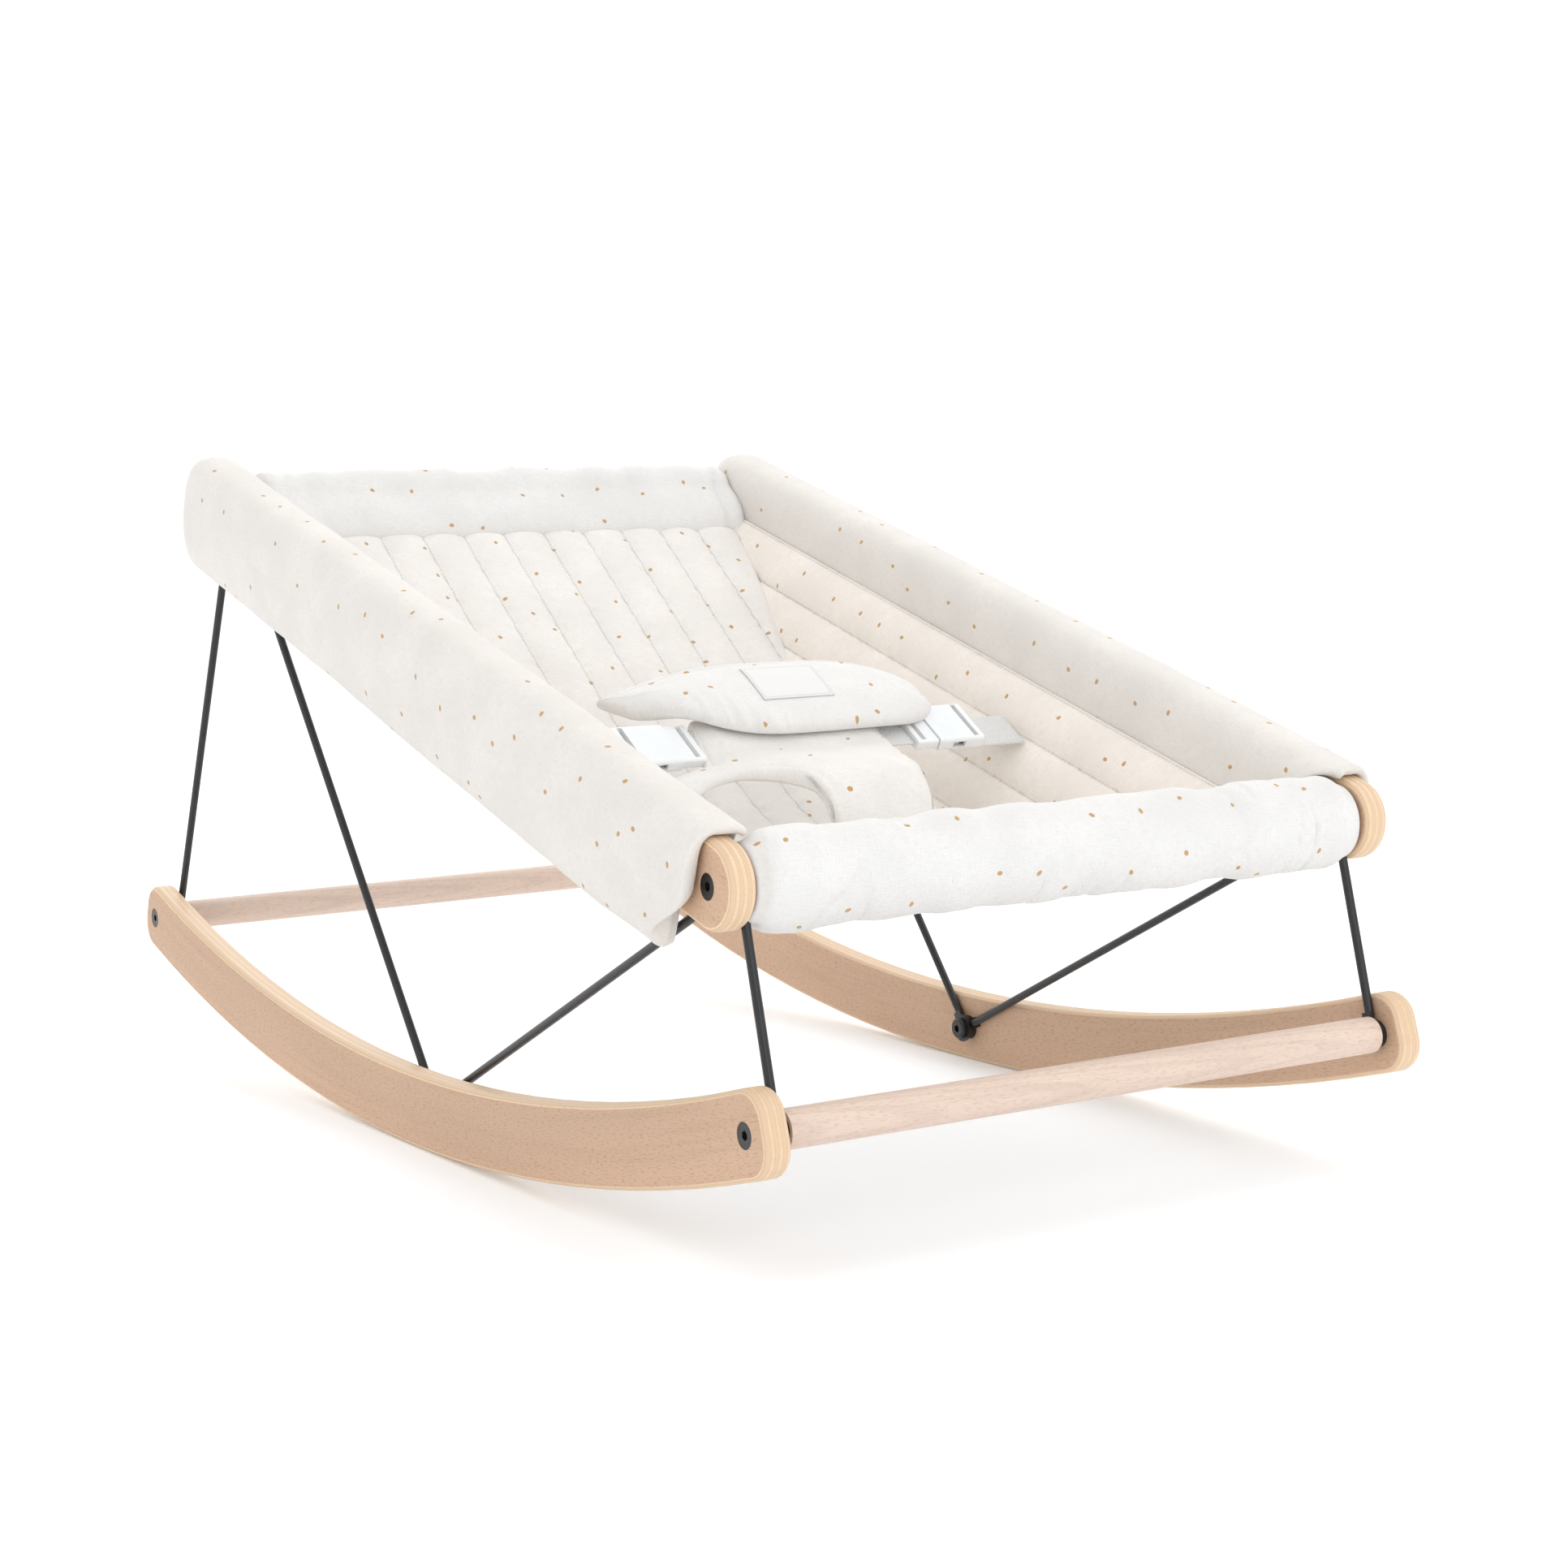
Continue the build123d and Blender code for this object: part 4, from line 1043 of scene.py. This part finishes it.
class BOUNCER_OT_crotch_piece(bpy.types.Operator):
    """Padded crotch piece with two bound leg openings."""

    bl_idname = "bouncer.crotch_piece"
    bl_label = "Crotch piece"

    def execute(self, context):
        """Rule a flat shape between its front and rear edges, bend and droop it, and swell it."""
        # right half of the front edge, as (x, distance along the line)
        corners = np.array([
            (0, 0), (30, 0), (29.5, 22), (33, 44), (43, 63),
            (58, 73), (76, 73), (96, 63), (118, 46)]) * MM
        fine, edge = spread(corners, 600)
        window = np.hanning(61)
        window /= window.sum()
        rounded = np.stack([
            np.convolve(np.pad(part, 30, mode="reflect", reflect_type="odd"), window, "valid")
            for part in edge.T], -1)
        base_part = smooth(fine, 20 * MM, 42 * MM)[:, None]
        right = edge * (1 - base_part) + rounded * base_part
        count, half_wide = 190, 118 * MM
        front_edge = np.concatenate([right[::-1] * np.array([-1, 1]), right[1:]])
        _, front_edge = spread(front_edge, count)
        rear_x = np.linspace(-half_wide, half_wide, count)
        beside_belt = smooth(np.abs(rear_x), 58 * MM, 70 * MM)
        rear_edge = np.stack([rear_x, (132 - 40 * beside_belt) * MM], -1)
        level = rim_steps(76, 0.06)
        share = level[:, None, None]
        flat = front_edge[None] * (1 - share) + rear_edge[None] * share
        aside = np.abs(flat[..., 0])
        # the right wing is folded under, so it reaches less far than the left
        over = np.clip(flat[..., 0] - 38 * MM, 0, None)
        reach = np.linspace(0, 150 * MM, 900)
        line_y, line_z = crotch_line(reach)
        points = np.zeros((*flat.shape[:2], 3))
        left_hang = np.clip(-flat[..., 0] - 46 * MM, 0, None)
        points[..., 0] = flat[..., 0] - 0.62 * over
        points[..., 1] = np.interp(flat[..., 1], reach, line_y) + 0.25 * over
        points[..., 2] = np.interp(flat[..., 1], reach, line_z) - 3.4 * left_hang**2 - 6.5 * over**2
        gap_front = np.stack([line_gap(row, points[0]) for row in points])
        gap_rear = np.linalg.norm(points - points[-1:], axis=-1)
        nearest = np.min(np.stack([gap_front, gap_rear, half_wide - aside]), axis=0)
        nearest[0] = nearest[-1] = 0
        binding = np.exp(-((nearest - 2.0 * MM) / (1.4 * MM)) ** 2)
        valley = np.exp(-((nearest - 4.8 * MM) / (1.0 * MM)) ** 2)
        body = dome(nearest, 20 * MM)
        soft = soft_noise(nearest.shape, (5, 7), 61)
        stem_share = 1 - smooth(aside, 30 * MM, 75 * MM)
        fill = (3.5 + 4.0 * stem_share) * MM
        # the upper layer rises over the belt, which runs through between the layers
        tunnel = smooth(flat[..., 1], 76 * MM, 98 * MM) * (1 - smooth(aside, 50 * MM, 57 * MM))
        edge_rise = dome(nearest, 1.6 * MM)
        fill = fill * (1 - tunnel) + 6.6 * MM * tunnel
        top = edge_rise * 1.7 * MM + body * fill * (1 + 0.14 * soft)
        top += 0.25 * MM * binding * edge_rise - 0.4 * MM * valley
        under = edge_rise * 1.5 * MM + body * 1.2 * MM
        uv = np.stack([flat[..., 1] + 0.31, flat[..., 0] + 0.57], -1)
        piece = slab("crotch_piece_cloth", points, top, under, uv, flip=True)
        # painted light: the crotch piece's cloth is darkened to 0.98 and warmed with painted bounce
        # light
        material = cotton("crotch_cotton", 0.98, painted_bounce_warmth=0.03)
        finish(piece, "frame", material, "dotted_cotton", "crotch_piece")
        place = vertices(piece)
        # held where the belt and buckles lie on it and where it is sewn to the seat
        by_belt = smooth((place - BELT) @ SLOPE, -26 * MM, -16 * MM)
        by_seat = 1 - smooth(place[:, 2], CROTCH_BASE[1], CROTCH_BASE[1] + 9 * MM)
        swell(piece, np.maximum(by_belt, by_seat))
        return {"FINISHED"}


PAD_LEFT, PAD_RIGHT = 95 * MM, 90 * MM  # reach from the belt's middle


def pad_outline(u):
    """Lower and upper edge of the waist pad up the belt's slope, at each u across it.

    The left end runs out to a lifted point, the right end is round.
    """
    left = np.clip(-u / PAD_LEFT, 0, 1)
    right = np.sqrt(np.clip(1 - np.clip(u / PAD_RIGHT, 0, 1) ** 3.2, 0, 1))
    low = np.where(u < 0, -8 + 60.8 * left**3, 17.5 - 25.5 * right) * MM
    high = np.where(u < 0, 50 + 2.8 * left, 17.5 + 32.5 * right) * MM
    return low, high


def pad_surface(u, v):
    """Middle of the waist pad: u across, v up the belt's slope, both from the belt's middle.

    The left tip hangs over the buckle, the right end hangs a little.
    """
    left = np.clip((-u - 15 * MM) / (80 * MM), 0, None)
    right = np.clip((u - 25 * MM) / (65 * MM), 0, None)
    out = 10.5 * MM - 21 * MM * left**2 * smooth(v, 8 * MM, 40 * MM) - 9 * MM * right**2
    level = BELT + u[..., None] * np.array([1.0, 0, 0])
    return level + v[..., None] * SLOPE + out[..., None] * SLOPE_OUT


def pad_rise(nearest):
    """Height of the pad's upper side over its middle, at a distance from the edge."""
    return dome(nearest, 2.2 * MM) * 1.5 * MM + dome(nearest, 24 * MM) * 7.4 * MM


class BOUNCER_OT_waist_pad(bpy.types.Operator):
    """Puffy waist pad with gathers, a lifted left end and a blank sewn patch."""

    bl_idname = "bouncer.waist_pad"
    bl_label = "Waist pad and patch"

    def execute(self, context):
        """Make the pad as a rounded slab, swell it, and lay the patch on it."""
        across = rim_steps(130, 0.03) * (PAD_LEFT + PAD_RIGHT) - PAD_LEFT
        u, level = np.meshgrid(across, rim_steps(56, 0.06))
        low, high = pad_outline(across)
        v = low + (high - low) * level
        points = pad_surface(u, v)
        ends = np.minimum(u + PAD_LEFT, PAD_RIGHT - u) * 0.9
        nearest = np.clip(np.minimum(np.minimum(v - low, high - v), ends), 0, None)
        edge = dome(nearest, 2.2 * MM)
        body = dome(nearest, 24 * MM)
        seam = np.exp(-((nearest - 5 * MM) / (0.9 * MM)) ** 2) * (v > (low + high) / 2)
        gathers = np.exp(-((v - low) / (15 * MM)) ** 2 - ((u + 38 * MM) / (24 * MM)) ** 2)
        gather_wave = np.sin(2 * pi * u / (8.5 * MM)) + 0.5 * np.sin(2 * pi * u / (5.3 * MM) + 1)
        soft = soft_noise(u.shape, (6, 9), 71)
        # the cloth lies smooth under the patch
        beside, up_slope = np.abs(u - PATCH_PLACE[0]), np.abs(v - PATCH_PLACE[1])
        under_patch = 1 - smooth(beside, 20 * MM, 34 * MM)
        under_patch = under_patch * (1 - smooth(up_slope, 13 * MM, 22 * MM))
        top = pad_rise(nearest) * (1 + 0.12 * soft * (1 - under_patch)) - 0.9 * MM * seam
        top = top + edge * 1.1 * MM * gathers * gather_wave * (1 - under_patch)
        under = edge * 1.3 * MM + body * (2.4 + 4.0 * smooth(-u, 55 * MM, 85 * MM)) * MM
        uv = np.stack([u + 0.83, v + 0.29], -1)
        piece = slab("waist_pad_cloth", points, top, under, uv, flip=True)
        # painted light: the pad's cloth is darkened to 0.97 for the light falling on it
        finish(piece, "frame", cotton("waist_pad_cotton", 0.97), "dotted_cotton", "waist_pad")
        place = vertices(piece) - BELT
        beside = np.abs(place[:, 0] - PATCH_PLACE[0])
        up_slope = np.abs(place @ SLOPE - PATCH_PLACE[1])
        held = (1 - smooth(beside, 24 * MM, 40 * MM)) * (1 - smooth(up_slope, 16 * MM, 28 * MM))
        swell(piece, held)
        # the patch follows the pad's upper side
        pu, pv = np.meshgrid(
            np.linspace(-0.5, 0.5, 45) * PATCH_LONG, np.linspace(-0.5, 0.5, 31) * PATCH_HIGH)
        label_u, label_v = pu + PATCH_PLACE[0], pv + PATCH_PLACE[1]
        ground = pad_surface(label_u, label_v)
        label_low, label_high = pad_outline(label_u)
        inside = np.minimum(label_v - label_low, label_high - label_v)
        lift = 0.5 * MM + pad_rise(inside)
        corner = np.minimum(PATCH_LONG / 2 - np.abs(pu), PATCH_HIGH / 2 - np.abs(pv))
        rim = dome(corner, 1.0 * MM)
        outward = np.broadcast_to(SLOPE_OUT, ground.shape)
        upper = ground + outward * (lift + 0.3 * MM * rim)[..., None]
        lower = ground + outward * (lift - 0.6 * MM * rim)[..., None]
        label_uv = np.stack([pu, pv], -1)
        label = build(
            "label_patch_cloth", [patch(upper, label_uv), patch(lower, label_uv, flip=True)])
        finish(label, "frame", label_cloth(), "label_cloth", "label_patch")
        return {"FINISHED"}


def strap(name, line, width_axis, width, thick):
    """Flat woven strap: a thin rounded section carried along a line of points."""
    rows = len(line)
    side = np.array([-0.5, -0.498, -0.45, -0.25, 0, 0.25, 0.45, 0.498, 0.5])
    swell_line = np.array([0, 0.6, 1, 0.9, 0.9, 0.9, 1, 0.6, 0]) * thick / 2
    tangent = np.gradient(line, axis=0)
    tangent /= np.linalg.norm(tangent, axis=1, keepdims=True)
    across = np.broadcast_to(width_axis, line.shape)
    up = np.cross(tangent, across)
    up /= np.linalg.norm(up, axis=1, keepdims=True)
    mid = line[:, None, :] + side[None, :, None] * width * across[:, None, :]
    end = np.ones(rows)
    end[0] = end[-1] = 0
    lift = (swell_line[None, :] * end[:, None])[..., None] * up[:, None, :]
    run = run_along(line)
    uv = np.stack(np.broadcast_arrays(run[:, None], side[None, :] * width), -1)
    return build(name, [patch(mid + lift, uv, flip=True), patch(mid - lift, uv)])


class BOUNCER_OT_webbing(bpy.types.Operator):
    """White waist belt and the two straps that hold the buckles."""

    bl_idname = "bouncer.webbing"
    bl_label = "Belt and straps"

    def execute(self, context):
        """Carry a flat woven section along each strap's line."""
        material = webbing()
        for name in ("waist_belt", "waist_strap_left", "waist_strap_right"):
            low, high = (np.array(corner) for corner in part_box(name))
            centre = (low + high) / 2
            first, last = low[0] + 0.1 * MM, high[0] - 0.1 * MM
            inner = np.linspace(first + 0.3 * MM, last - 0.3 * MM, 40)
            line = np.tile(centre, (len(inner) + 2, 1))
            line[:, 0] = np.concatenate([[first], inner, [last]])
            width, thick = 25 * MM, 1.6 * MM
            piece = strap(name + "_web", line, SLOPE, width, thick)
            finish(piece, "frame", material, "webbing", name)
        return {"FINISHED"}


class BOUNCER_OT_studio(bpy.types.Operator):
    """Pale floor, soft lights and the camera."""

    bl_idname = "bouncer.studio"
    bl_label = "Studio"

    def execute(self, context):
        """Make the floor, the world light, three soft lamps and the camera."""
        scene = context.scene
        scene.view_settings.view_transform = "Standard"
        size = 9.0
        u = np.linspace(-1, 1, 41) * size
        points = np.zeros((41, 41, 3))
        points[..., 0], points[..., 1] = u[:, None], u[None, :]
        points[..., 2] = -0.3 * MM
        uv = points[..., :2].copy()
        floor = build("studio_floor", [patch(points, uv)])
        kit = Nodes("studio_white")
        where = kit.add("ShaderNodeTexCoord").outputs["Object"]
        tone = kit.mix(kit.noise(where, 3.0, 1.0), (0.93, 0.945, 0.96), (0.945, 0.96, 0.975))
        floor.data.materials.append(kit.done(
            tone, 0.9, Specular_IOR_Level=0.1,
            Emission_Color=(0.93, 0.97, 1, 1), Emission_Strength=0.12))
        world = bpy.data.worlds.new("studio_world")
        world.use_nodes = True
        world.node_tree.nodes["Background"].inputs[0].default_value = (1.0, 1.0, 1.0, 1)
        world.node_tree.nodes["Background"].inputs[1].default_value = 1.07
        scene.world = world
        lamps = (
            ("key_light", (1.7, -0.9, 2.0), 1.3, 6.0, (1.0, 0.99, 0.98)),
            ("fill_light", (-0.3, -2.6, 1.0), 1.6, 7.0, (1.0, 1.0, 1.0)),
            ("back_light", (0.6, 2.2, 1.9), 1.8, 20.0, (1.0, 1.0, 1.0)),
        )
        for name, place, width, power, tint in lamps:
            light = bpy.data.lights.new(name, "AREA")
            light.size, light.energy, light.color = width, power, tint
            lamp = bpy.data.objects.new(name, light)
            lamp.location = place
            aim = np.array([0.0, 0.0, 0.15]) - np.array(place)
            lamp.rotation_euler = (
                np.arctan2(hypot(aim[0], aim[1]), -aim[2]), 0.0,
                np.arctan2(aim[1], aim[0]) - pi / 2)
            scene.collection.objects.link(lamp)
        lens = bpy.data.cameras.new("camera")
        lens.sensor_width = 36.0
        lens.lens = 64.91
        lens.shift_x = -0.0005
        lens.shift_y = 0.0033
        lens.clip_start, lens.clip_end = 0.05, 40.0
        camera = bpy.data.objects.new("camera", lens)
        yaw, pitch, tip = radians(-32.325), radians(7.839), radians(2.30)
        tip_x = np.array([[1, 0, 0], [0, cos(tip), -sin(tip)], [0, sin(tip), cos(tip)]])
        back = tip_x @ np.array([sin(yaw) * cos(pitch), -cos(yaw) * cos(pitch), sin(pitch)])
        right = tip_x @ np.array([cos(yaw), sin(yaw), 0.0])
        upward = np.cross(back, right)
        place = np.eye(4)
        place[:3, 0], place[:3, 1], place[:3, 2] = right, upward, back
        place[:3, 3] = np.array([-800.4, -1368.7, 336.6]) * MM
        camera.matrix_world = Matrix(place.tolist())
        scene.collection.objects.link(camera)
        scene.camera = camera
        return {"FINISHED"}


class BOUNCER_PT_panel(bpy.types.Panel):
    """Sizes, colours and the steps that make the seat."""

    bl_idname = "BOUNCER_PT_panel"
    bl_label = "Bouncer seat"
    bl_space_type = "VIEW_3D"
    bl_region_type = "UI"
    bl_category = "Bouncer"

    def draw(self, context):
        """List every size, colour and step."""
        column = self.layout.column()
        for group in (context.scene.bouncer_sizes, context.scene.bouncer_colours):
            for name in group.__annotations__:
                column.prop(group, name)
        for step in STEPS:
            column.operator(step.bl_idname)


STEPS = (
    BOUNCER_OT_frame_finishes,
    BOUNCER_OT_side_sleeves,
    BOUNCER_OT_bar_sleeves,
    BOUNCER_OT_quilted_sling,
    BOUNCER_OT_crotch_piece,
    BOUNCER_OT_waist_pad,
    BOUNCER_OT_webbing,
    BOUNCER_OT_studio,
)
CLASSES = (ClothSizes, FinishColours, *STEPS, BOUNCER_PT_panel)


def register():
    """Add the classes and the scene's size and colour groups."""
    for one in CLASSES:
        bpy.utils.register_class(one)
    bpy.types.Scene.bouncer_sizes = PointerProperty(type=ClothSizes)
    bpy.types.Scene.bouncer_colours = PointerProperty(type=FinishColours)


def unregister():
    """Remove what register added."""
    del bpy.types.Scene.bouncer_colours
    del bpy.types.Scene.bouncer_sizes
    for one in reversed(CLASSES):
        bpy.utils.unregister_class(one)


def main():
    """Run every step in order."""
    register()
    for step in STEPS:
        group, name = step.bl_idname.split(".")
        getattr(getattr(bpy.ops, group), name)()


if __name__ == "__main__":
    main()
